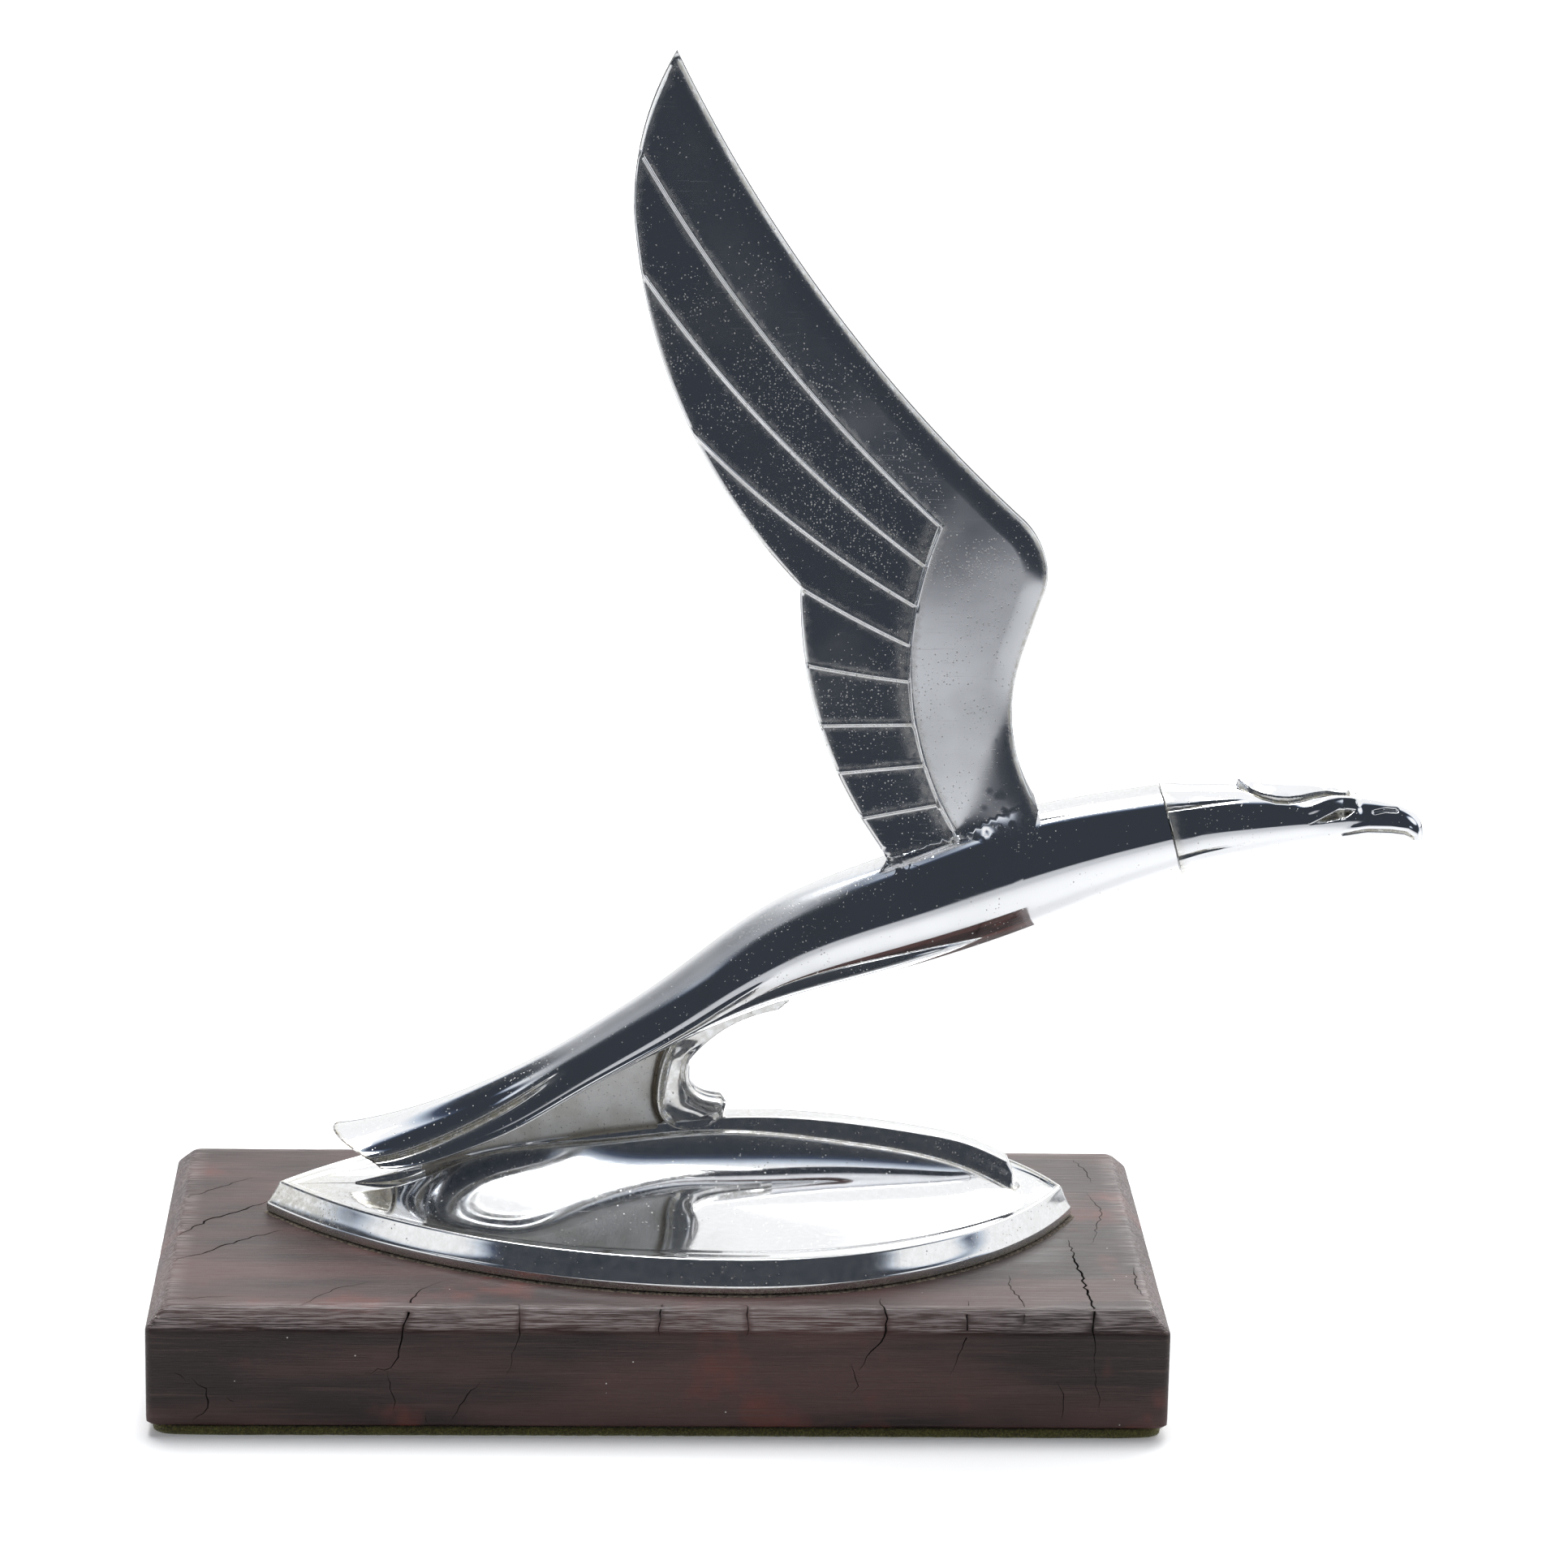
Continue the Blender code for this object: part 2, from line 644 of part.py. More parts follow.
def make_head():
    head = loft("head", head_rings(26, 24), CHROME, 50.0)
    rear, front = (100.2, 82.6), (117.5, 82.0)
    crest = [rear, *arc(rear, front, 0.9, 6), (116.0, 80.6), *arc((116.0, 80.6), rear, 1.2, 6)[:-1]]
    joins = [slab("join_crest", crest, -3.4, 3.4)]
    cuts = []
    for side in (-1, 1):
        brow = [(0.0, 0.0), (0.6, 1.0), (6.0, 1.3), (8.4, 0.9), (9.0, 0.0)]
        place, lean = (111.2, side * 3.9, 79.0), (1, -0.12 * side, 0.02)
        joins.append(turned(f"join_brow_{side}", brow, place, lean, segments=12))
        eye = [(-2.2, 0.0), (-1.5, 1.5), (0.0, 2.1), (1.5, 1.5), (2.2, 0.0)]
        place, lean = (118.0, side * 5.2, 76.9), (1, -0.2 * side, 0)
        cuts.append(turned(f"cut_eye_{side}", eye, place, lean, segments=12))
        nostril = [(-1.4, 0.0), (-0.8, 0.5), (0.8, 0.5), (1.4, 0.0)]
        place, lean = (126.2, side * 2.9, 77.2), (1, -0.2 * side, -0.1)
        cuts.append(turned(f"cut_nostril_{side}", nostril, place, lean, segments=8))
        mouth = [(118.5, 73.3), (130.4, 73.9), (130.4, 73.3), (118.5, 72.7)]
        cuts.append(slab(f"cut_mouth_{side}", mouth, side * 1.9, side * 6.0))
        for number, height in enumerate((4.6, -4.6)):
            cuts.append(flute(f"cut_flute_{side}_{number}", side, height))
    boolean(head, "UNION", *joins)
    boolean(head, "DIFFERENCE", *cuts)
    radius, end = SPINDLE_RADIUS + GAP, SPINDLE_FRONT + 0.6
    bore = [(-1.0, 0.0), (-1.0, radius), (end, radius), (end + 1.5, 0.0)]
    pin_hole = [(-10.0, 0.0), (-10.0, 1.5), (4.9, 1.5), (4.9, 0.0)]
    boolean(
        head,
        "DIFFERENCE",
        turned("cut_bore", bore, NECK_POINT, NECK_AXIS),
        turned("cut_head_pin", pin_hole, along_neck(PIN_AT), NECK_UP, segments=20),
    )
    head.matrix_world = MASCOT_METRES
    return head


def flute(name, side, height):
    """A shallow finger groove that starts at the seam, this high above the neck's axis."""
    profile = [(-1.0, 0.0), (-1.0, 0.9), (9.0, 0.7), (20.0, 0.0)]
    reach = math.sqrt(HEAD[0][5] ** 2 - height**2) + 0.35
    start = NECK_POINT + NECK_UP * height + Vector((0, side * reach, 0))
    return turned(name, profile, start, (1.0, -0.05 * side, 0.11), segments=10)


def make_neck_joint():
    bush_outer, bush_inner = SOCKET_RADIUS - GAP, SPINDLE_RADIUS + GAP
    bush = [(-10.0, bush_inner), (-10.0, bush_outer - 0.4), (-9.6, bush_outer), (-0.9, bush_outer), (-0.5, bush_outer - 0.4), (-0.5, bush_inner)]
    made = [turned("neck_bush", bush, NECK_POINT, NECK_AXIS, BRASS, 32)]
    back, neck, radius = -SPINDLE_BACK, SPINDLE_RADIUS - 0.8, SPINDLE_RADIUS
    spindle = [(back, 0.0), (back, radius - 0.5), (back + 0.5, radius), (-13.2, radius), (-13.2, neck), (-11.9, neck), (-11.9, radius), (SPINDLE_FRONT - 0.6, radius), (SPINDLE_FRONT, radius - 0.6), (SPINDLE_FRONT, 0.0)]
    stem = turned("head_spindle", spindle, NECK_POINT, NECK_AXIS, STEEL, 28)
    hole = [(-6.0, 0.0), (-6.0, 1.5), (6.0, 1.5), (6.0, 0.0)]
    boolean(stem, "DIFFERENCE", turned("cut_spindle_pin", hole, along_neck(PIN_AT), NECK_UP, segments=20))
    made.append(stem)
    clip = [(-12.95, neck + GAP), (-12.95, 4.5), (-12.2, 4.5), (-12.2, neck + GAP)]
    made.append(turned("spindle_clip", clip, NECK_POINT, NECK_AXIS, STEEL, 28))
    made.append(wave_washer("spindle_washer", -11.1))
    pin = [(-5.9, 0.0), (-5.9, 0.9), (-5.6, 1.2), (4.0, 1.2), (4.4, 0.8), (4.4, 0.0)]
    made.append(turned("head_pin", pin, along_neck(PIN_AT), NECK_UP, STEEL, 20))
    for obj in made:
        obj.matrix_world = MASCOT_METRES


def wave_washer(name, place):
    """A thin ring that rises and falls three times round."""
    across = NECK_AXIS.orthogonal().normalized()
    side = NECK_AXIS.cross(across)
    rings = []
    for i in range(48):
        angle = 2.0 * math.pi * i / 48
        lift = 0.25 * math.sin(3.0 * angle)
        out = across * math.cos(angle) + side * math.sin(angle)
        ring = []
        for radius, level in ((3.4, -0.15), (4.6, -0.15), (4.6, 0.15), (3.4, 0.15)):
            ring.append(along_neck(place + lift + level) + out * radius)
        rings.append(ring)
    points = [p for ring in rings for p in ring]
    faces = []
    for i in range(48):
        for j in range(4):
            a, b = 4 * i + j, 4 * i + (j + 1) % 4
            c, d = 4 * ((i + 1) % 48) + (j + 1) % 4, 4 * ((i + 1) % 48) + j
            faces.append((a, b, c, d))
    return add_mesh(name, points, faces, STEEL)


# ---- fixings ----


def fixing(name, place, radius, head_radius, head_height, reach):
    """A bolt that points up: its head is below the place, with a conical drive recess."""
    profile = [
        (-head_height + 0.45 * head_height, 0.0),
        (-head_height, 0.42 * head_radius),
        (-head_height, head_radius - 0.4),
        (-head_height + 0.4, head_radius),
        (0.0, head_radius),
        (0.0, radius),
        (reach - 0.5, radius),
        (reach, radius - 0.5),
        (reach, 0.0),
    ]
    return turned(name, profile, place, (0, 0, 1), STEEL, 24)


def washer(name, place, inner, outer, thick):
    profile = [(0.0, inner), (0.0, outer), (thick, outer), (thick, inner)]
    return turned(name, profile, place, (0, 0, 1), STEEL, 28)


def make_fixings():
    made = []
    ceiling = PLINTH_BOTTOM + COUNTERBORE_DEPTH - PLINTH_TOP
    for end, x in zip(("rear", "front"), BOLT_X):
        seat = ceiling - GAP - 1.2
        made.append(washer(f"plinth_washer_{end}", (x, 0, seat), BOLT_RADIUS + GAP, 5.8, 1.2))
        under = seat - GAP
        reach = bolt_reach(x) - under
        made.append(fixing(f"plinth_bolt_{end}", (x, 0, under), BOLT_RADIUS, 4.4, 3.6, reach))
    for end, x in SCREW_X.items():
        seat = screw_seat(x) - GAP - 0.6
        made.append(washer(f"{end}_washer", (x, 0, seat), SCREW_RADIUS + GAP, 3.4, 0.6))
        under = seat - GAP
        reach = SCREW_TOP[end] - under
        made.append(fixing(f"{end}_screw", (x, 0, under), SCREW_RADIUS, 2.5, 2.0, reach))
    for end, (x, z) in zip(("rear", "front"), WING_PINS):
        pin = [(-4.8, 0.0), (-4.8, 0.8), (-4.4, 1.2), (6.6, 1.2), (7.0, 0.8), (7.0, 0.0)]
        made.append(turned(f"wing_pin_{end}", pin, (x, 0, z), (0, 1, 0), STEEL, 20))
    for obj in made:
        obj.matrix_world = MASCOT_METRES


MASCOT_METRES = Matrix.Translation(Vector((MASCOT_X, MASCOT_Y, PLINTH_TOP)) * MM)


def place_helpers():
    """Moves the Boolean helpers of the mascot with it; the plinth's are made in place."""
    for obj in bpy.data.objects:
        if obj.hide_render and not obj.name.startswith("cut_bolt"):
            obj.matrix_world = MASCOT_METRES


def main():
    for obj in list(bpy.data.objects):
        bpy.data.objects.remove(obj, do_unlink=True)
    make_plinth()
    make_base()
    make_body()
    make_wing("right_wing", -1)
    make_wing("left_wing", 1)
    make_head()
    make_neck_joint()
    make_fixings()
    place_helpers()


main()
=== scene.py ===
"""Looks of the hood ornament: a chromed flying eagle on a pointed-oval base and a cracked wooden plinth.

Every length below is in millimetres and every angle in degrees; make_piece turns millimetres into
metres. The mascot has its own frame, as in the CAD: its origin is on the plinth's top face, under
the middle of the oval base, +X points to the beak, +Z is up, and the near side is -Y.
"""

import json
import math

import bmesh
import bpy
import numpy as np
from mathutils import Matrix, Vector
from mathutils.geometry import delaunay_2d_cdt

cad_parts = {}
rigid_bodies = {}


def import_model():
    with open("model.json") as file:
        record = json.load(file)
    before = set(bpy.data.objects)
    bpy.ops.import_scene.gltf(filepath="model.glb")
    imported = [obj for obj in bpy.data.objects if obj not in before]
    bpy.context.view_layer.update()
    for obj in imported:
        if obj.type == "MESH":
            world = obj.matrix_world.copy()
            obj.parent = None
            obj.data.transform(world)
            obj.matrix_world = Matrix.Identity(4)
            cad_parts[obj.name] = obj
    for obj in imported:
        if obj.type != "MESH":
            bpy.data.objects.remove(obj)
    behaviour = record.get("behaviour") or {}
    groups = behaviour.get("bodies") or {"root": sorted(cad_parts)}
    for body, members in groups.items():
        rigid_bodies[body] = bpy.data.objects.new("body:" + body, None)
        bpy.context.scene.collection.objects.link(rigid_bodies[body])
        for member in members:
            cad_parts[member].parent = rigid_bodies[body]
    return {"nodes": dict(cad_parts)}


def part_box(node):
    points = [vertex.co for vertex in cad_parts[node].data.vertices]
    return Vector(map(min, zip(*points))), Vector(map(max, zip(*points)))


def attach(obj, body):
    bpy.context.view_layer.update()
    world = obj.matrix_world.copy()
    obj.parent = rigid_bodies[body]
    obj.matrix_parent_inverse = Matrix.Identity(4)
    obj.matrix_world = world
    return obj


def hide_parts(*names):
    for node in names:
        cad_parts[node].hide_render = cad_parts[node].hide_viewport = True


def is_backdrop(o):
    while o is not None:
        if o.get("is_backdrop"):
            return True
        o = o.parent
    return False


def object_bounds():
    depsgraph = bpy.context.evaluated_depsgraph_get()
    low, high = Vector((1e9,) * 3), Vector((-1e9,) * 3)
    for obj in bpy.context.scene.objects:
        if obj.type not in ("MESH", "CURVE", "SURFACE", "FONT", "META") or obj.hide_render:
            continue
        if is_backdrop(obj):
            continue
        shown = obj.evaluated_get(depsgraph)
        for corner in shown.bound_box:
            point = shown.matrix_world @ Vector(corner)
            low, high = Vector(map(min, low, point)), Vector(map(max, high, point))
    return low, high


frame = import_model()
CAD_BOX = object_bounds()

MM = 0.001
GAP = 0.3  # clearance that the CAD leaves between pieces


def box_mm(node):
    """Lowest and highest corner of a CAD node, in millimetres."""
    low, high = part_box(node)
    return np.array(low) / MM, np.array(high) / MM


PLINTH_LOW, PLINTH_HIGH = box_mm("plinth_block")
FELT_LOW, FELT_HIGH = box_mm("felt_pad")
OVAL_LOW, OVAL_HIGH = box_mm("base_plate")
MASCOT = np.array([*((OVAL_LOW + OVAL_HIGH) / 2)[:2], PLINTH_HIGH[2]])

# Plinth
BEVEL_OUT = 3.2
BEVEL_DOWN = 3.4
PLINTH_CORNER = 1.3
PLINTH_STEP = 2.2
WOOD_SHARP = 30.0  # edges that bend more than this are shaded sharp

# Oval base
OVAL_TIP = (OVAL_HIGH[0] - OVAL_LOW[0]) / 2 + 0.1
OVAL_HALF_WIDTH = (OVAL_HIGH[1] - OVAL_LOW[1]) / 2
OVAL_PEAK_X = 12.0  # where the oval is widest
OVAL_STEPS = 300
WELD = 2e-6  # metres
DECK_HEIGHT = 6.1
DECK_INSET = 2.66
DECK_EDGE_HEIGHT = 5.8
DISH_DROP = 0.26  # how far the dish lies under the rolled edge
CHAMFER_IN = 1.8
DISH_DIPS = (1.0, 0.25)  # at the left and the right
RIB_FOOT_HALF = 4.2
# Rib along the middle, as (x, crest height, height of the dish at its foot)
RIB = np.array([
    (-57.0, 6.0, 6.0),
    (-49.0, 8.4, 7.0),
    (-39.0, 11.9, 11.0),
    (-14.0, 16.6, 15.4),
    (9.0, 19.5, 17.5),
    (31.0, 18.7, 15.6),
    (46.0, 16.5, 13.0),
    (54.0, 14.6, 10.4),
    (61.0, 11.4, 6.8),
    (63.5, 6.0, 6.0),
])

# Bird's body, as (x, z, axis tilt, height above, height below, half width)
BODY = np.array([
    (-56.5, 12.2, 15, 6.0, 0.8, 9.6),
    (-48.0, 12.0, 17, 7.5, 1.1, 8.9),
    (-38.0, 14.6, 22, 8.0, 1.2, 7.6),
    (-28.0, 18.8, 28, 8.2, 1.2, 6.8),
    (-17.0, 25.4, 32, 7.6, 1.3, 6.3),
    (-6.0, 32.0, 33, 8.0, 1.7, 6.5),
    (4.0, 38.4, 33, 8.6, 3.0, 7.1),
    (12.0, 44.0, 31, 9.3, 5.2, 7.7),
    (22.0, 50.2, 28, 10.1, 8.2, 8.3),
    (34.0, 55.6, 26, 10.3, 10.2, 8.8),
    (48.0, 60.6, 24, 10.7, 10.7, 9.0),
    (62.0, 65.9, 20, 10.7, 10.7, 9.0),
    (75.0, 70.2, 17, 9.5, 9.5, 8.6),
    (88.3, 73.8, 15, 8.1, 8.1, 8.1),
])
TAIL_END_X = -52.0
TAIL_REACH = 7.4  # how far the top tail feather ends behind the lower one
GROOVE_START_X = -15.0
GROOVE_ANGLES = (50.0, 71.0)  # down from the top, at the groove's start and at the tail's end

# Neck joint
NECK = np.array((88.3, 0.0, 73.8))
NECK_TILT = math.radians(15.0)
NECK_AXIS = np.array((math.cos(NECK_TILT), 0.0, math.sin(NECK_TILT)))
NECK_UP = np.array((-math.sin(NECK_TILT), 0.0, math.cos(NECK_TILT)))
SOCKET_RADIUS = 5.3
SOCKET_DEPTH = 18.0
BORE_RADIUS = 3.3
BORE_DEPTH = 16.6

# Head, with the same columns as BODY, from the seam to the beak's tip
HEAD = np.array([
    (88.3, 73.8, 15, 8.1, 8.1, 8.1),
    (95.0, 74.8, 10, 7.1, 7.3, 7.5),
    (103.0, 75.6, 5, 6.1, 6.4, 6.8),
    (111.0, 76.2, 1, 5.2, 5.3, 6.0),
    (117.0, 76.4, -3, 4.6, 4.6, 5.2),
    (121.5, 76.3, -7, 4.1, 4.1, 3.9),
    (126.0, 75.9, -13, 3.6, 3.6, 3.0),
    (129.6, 75.2, -26, 3.0, 3.1, 2.5),
    (132.0, 73.9, -52, 1.9, 2.2, 1.9),
    (132.9, 72.2, -82, 0.9, 1.1, 1.0),
])

# Wing outline in the XZ plane
WING_TIP = (-1.5, 212.0)
WING_SHOULDER = (59.5, 131.0)
WING_NOSE = (65.0, 121.5)
WING_CHIN = (64.0, 115.4)
WING_THROAT = (61.3, 106.9)
WING_FRONT_ROOT = (64.3, 78.4)
TENON_FRONT = (61.5, 66.2)
TENON_REAR = (41.5, 58.6)
WING_REAR_ROOT = (38.0, 67.9)
WING_NOTCH = (21.5, 117.5)
WING_BELLY = (-8.6, 183.5)
COVERT_TOP = (45.8, 129.1)
COVERT_FOOT = (52.4, 69.0)
COVERT_BOW = 7.8
# Raised quills between the feathers: start at the trailing edge, end at the covert, bow
QUILLS = [
    ((-7.9, 195.1), COVERT_TOP, 3.3),
    ((-7.9, 174.7), (43.5, 121.8), 3.1),
    ((2.1, 145.3), (41.9, 114.6), 1.7),
    ((21.6, 117.8), (40.9, 107.5), 0.3),
    ((22.4, 103.9), (40.8, 101.0), 0.2),
    ((25.1, 92.8), (41.6, 93.1), 0.0),
    ((28.6, 84.1), (43.8, 85.6), 0.0),
    ((33.3, 75.8), (46.3, 78.3), 0.0),
    ((38.2, 68.3), (50.6, 71.4), 0.0),
]
QUILL_HALF = 0.42
QUILL_RISE = 0.38
FEATHER_STEP = 0.66
WING_THICK = 1.9
WING_EDGE = 0.35
LEADING_ROLL = 4.6
TRAILING_ROLL = 0.8
WING_INNER = 0.2  # where the inner face is at the root, off the middle plane
WING_ROOT_Z = 66.0
WING_SPREAD = 0.5 / 146.0
GRID_STEP = 0.9
FILLET_TOP = 96.0  # the body is too far away to matter above this
HALVINGS = 26

# Half width and front reach of the card that the chrome reflects
CARD_REACH = (470.0, 560.0)


# ---- numbers along and across ----


def smooth_step(low, high, value):
    """0 below low, 1 above high, and an S-curve between."""
    share = np.clip((np.asarray(value, float) - low) / (high - low), 0.0, 1.0)
    return share * share * (3.0 - 2.0 * share)


def bump(value, width):
    """A round hill, 1 at zero and fading to 0 at about twice its width."""
    return np.exp(-((value / width) ** 2))


def natural_curve(knots, values, at):
    """Values on the natural cubic spline through the knots."""
    knots, values, at = (np.asarray(a, float) for a in (knots, values, at))
    count = len(knots)
    gap = np.diff(knots)
    system = np.eye(count)
    right = np.zeros_like(values)
    for i in range(1, count - 1):
        system[i, i - 1 : i + 2] = (gap[i - 1], 2.0 * (gap[i - 1] + gap[i]), gap[i])
        ahead = (values[i + 1] - values[i]) / gap[i]
        behind = (values[i] - values[i - 1]) / gap[i - 1]
        right[i] = 6.0 * (ahead - behind)
    bend = np.linalg.solve(system, right)
    i = np.clip(np.searchsorted(knots, at) - 1, 0, count - 2)
    after = (at - knots[i]) / gap[i]
    before = 1.0 - after
    step = gap[i] ** 2 / 6.0
    if values.ndim > 1:
        before, after, step = before[:, None], after[:, None], step[:, None]
    return (
        before * values[i]
        + after * values[i + 1]
        + step * ((before**3 - before) * bend[i] + (after**3 - after) * bend[i + 1])
    )


def arc(start, end, bow, steps):
    """Points of a shallow arc after its start. The bow is to the left of the way it goes."""
    start = np.array(start, float)
    along = np.array(end, float) - start
    left = np.array((-along[1], along[0])) / np.hypot(*along)
    share = np.linspace(0.0, 1.0, steps + 1)[1:, None]
    return list(start + along * share + left * (4.0 * bow * share * (1.0 - share)))


def chain(start, *legs):
    """A line through arcs, one after the other, each given as (end, bow, steps)."""
    points = [np.array(start, float)]
    for end, bow, steps in legs:
        points += arc(start, end, bow, steps)
        start = end
    return np.array(points)


def offset(line, distance):
    """A line moved sideways, to the left of the way it runs."""
    step = np.gradient(line, axis=0)
    left = np.stack([-step[:, 1], step[:, 0]], axis=1)
    return line + distance * left / np.linalg.norm(left, axis=1)[:, None]


def distance_to(line, points):
    """Signed distance from each point to a polyline, positive to the left of the way it runs."""
    line = np.asarray(line, float)
    best = np.full(len(points), np.inf)
    signed = np.zeros(len(points))
    for start, end in zip(line[:-1], line[1:]):
        along = end - start
        rel = points - start
        share = np.clip(rel @ along / max(along @ along, 1e-12), 0.0, 1.0)
        away = rel - share[:, None] * along
        far = np.hypot(away[:, 0], away[:, 1])
        side = along[0] * rel[:, 1] - along[1] * rel[:, 0]
        nearer = far < best - 1e-9
        best = np.where(nearer, far, best)
        signed = np.where(nearer, np.where(side >= 0.0, far, -far), signed)
    return signed


def inside(outline, points):
    """Whether each point is within a closed outline."""
    found = np.zeros(len(points), bool)
    for (x0, z0), (x1, z1) in zip(outline, np.roll(outline, -1, axis=0)):
        if z0 == z1:
            continue
        crosses = (points[:, 1] < z0) != (points[:, 1] < z1)
        found ^= crosses & (points[:, 0] < x0 + (points[:, 1] - z0) * (x1 - x0) / (z1 - z0))
    return found


# ---- meshes ----


def make_piece(name, points, faces, material, body="stand", marks=None, sharp=None, normals=None):
    """A shown piece from millimetre points: smooth-shaded, with its marks, riding a CAD body."""
    mesh = bpy.data.meshes.new(name)
    mesh.from_pydata((np.asarray(points, float) * MM).tolist(), [], faces)
    for mark, values in (marks or {}).items():
        attribute = mesh.attributes.new(mark, "FLOAT", "POINT")
        attribute.data.foreach_set("value", np.asarray(values, np.float32))
    mesh.materials.append(material)
    mesh.shade_smooth()
    if normals is not None:
        mesh.normals_split_custom_set(normals)
    elif sharp is not None:
        mesh.set_sharp_from_angle(angle=math.radians(sharp))
    obj = bpy.data.objects.new(name, mesh)
    bpy.context.scene.collection.objects.link(obj)
    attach(obj, body)
    return obj


def grid_faces(rows, columns, wrap=True, first=0):
    """Four-sided faces between rows of points, closed round each row when wrapped."""
    faces = []
    for row in range(rows - 1):
        for i in range(columns if wrap else columns - 1):
            a = first + row * columns + i
            b = first + row * columns + (i + 1) % columns
            faces.append((a, b, b + columns, a + columns))
    return faces


def closed_tube(rings):
    """Points and faces of a skin through rings of points, capped at both ends."""
    rings = np.asarray(rings, float)
    rows, columns = rings.shape[:2]
    start_cap = tuple(range(columns - 1, -1, -1))
    end_cap = tuple(range((rows - 1) * columns, rows * columns))
    return rings.reshape(-1, 3), [*grid_faces(rows, columns), start_cap, end_cap]


def tidy_mesh(mesh, weld=0.0):
    """Joins points closer than weld, in metres, and turns the closed mesh's faces outward."""
    work = bmesh.new()
    work.from_mesh(mesh)
    if weld:
        bmesh.ops.remove_doubles(work, verts=work.verts, dist=weld)
    bmesh.ops.recalc_face_normals(work, faces=work.faces)
    if work.calc_volume(signed=True) < 0:
        bmesh.ops.reverse_faces(work, faces=work.faces)
    work.to_mesh(mesh)
    work.free()


def section_grid(rows, angles, lift=0.0, back=0.0):
    """Cross-section points for station rows: half an ellipse above the side line and another below.

    angles is one row of section angles for each station, from the top and round by the near side.
    lift moves a point out of its section's surface, and back moves it toward the tail.
    """
    x, z, tilt, above, below, half = (column[:, None] for column in rows.T)
    tilt = np.radians(tilt)
    angles = np.radians(angles)
    up = np.cos(angles)
    out = np.sin(angles)
    tall = np.where(up > 0.0, above, below)
    slope_up = up / tall
    slope_out = out / half
    length = np.hypot(slope_up, slope_out)
    height = up * tall + lift * slope_up / length
    width = out * half + lift * slope_out / length
    return np.stack(
        [
            x - height * np.sin(tilt) - back * np.cos(tilt),
            -width,
            z + height * np.cos(tilt) - back * np.sin(tilt),
        ],
        axis=-1,
    )


def section_columns(stops, counts):
    """Section angles for one station: from the top down the near side and back up the far side."""
    near = [np.array([stops[0]])]
    for low, high, count in zip(stops[:-1], stops[1:], counts):
        near.append(np.linspace(low, high, count + 1)[1:])
    near = np.concatenate(near)
    return np.concatenate([near, 360.0 - near[-2:0:-1]])


def from_top(angles):
    """Section angles measured down from the top, on either side."""
    return np.minimum(angles, 360.0 - angles)


def middle_of(low, high):
    """The middle of a box, at the floor's height."""
    return np.array(((low[0] + high[0]) / 2, (low[1] + high[1]) / 2, 0.0))


def placed(points):
    """Mascot-frame points in the part's frame."""
    return np.asarray(points, float).reshape(-1, 3) + MASCOT


# ---- material nodes ----


class Nodes:
    """Adds nodes to one tree and links them."""

    def __init__(self, tree):
        self.tree = tree

    def add(self, kind, **settings):
        node = self.tree.nodes.new(kind)
        for key, value in settings.items():
            setattr(node, key, value)
        return node

    def put(self, socket, value):
        """Links an output to the socket, or sets a plain value on it."""
        if isinstance(value, bpy.types.NodeSocket):
            self.tree.links.new(value, socket)
        else:
            socket.default_value = value

    def maths(self, operation, first, second=0.0, clamp=False):
        node = self.add("ShaderNodeMath", operation=operation, use_clamp=clamp)
        self.put(node.inputs[0], first)
        self.put(node.inputs[1], second)
        return node.outputs[0]

    def times(self, first, second, clamp=False):
        return self.maths("MULTIPLY", first, second, clamp)

    def plus(self, first, second):
        return self.maths("ADD", first, second)

    def larger(self, first, second):
        return self.maths("MAXIMUM", first, second)

    def vectors(self, operation, first, second=None):
        node = self.add("ShaderNodeVectorMath", operation=operation)
        self.put(node.inputs[0], first)
        if second is not None:
            self.put(node.inputs[1], second)
        return node.outputs

    def split(self, vector):
        """The vector's x, y and z."""
        node = self.add("ShaderNodeSeparateXYZ")
        self.put(node.inputs[0], vector)
        return node.outputs

    def remap(self, value, low, high, to_low=0.0, to_high=1.0):
        """An S-curve from one range to another."""
        node = self.add("ShaderNodeMapRange", interpolation_type="SMOOTHSTEP")
        self.put(node.inputs[0], value)
        for number, limit in enumerate((low, high, to_low, to_high), start=1):
            node.inputs[number].default_value = limit
        return node.outputs[0]

    def blend(self, share, first, second):
        """A mix of two colours."""
        node = self.add("ShaderNodeMix", data_type="RGBA")
        self.put(node.inputs["Factor"], share)
        for socket, value in ((node.inputs["A"], first), (node.inputs["B"], second)):
            self.put(socket, (*value, 1.0) if isinstance(value, tuple) else value)
        return node.outputs["Result"]


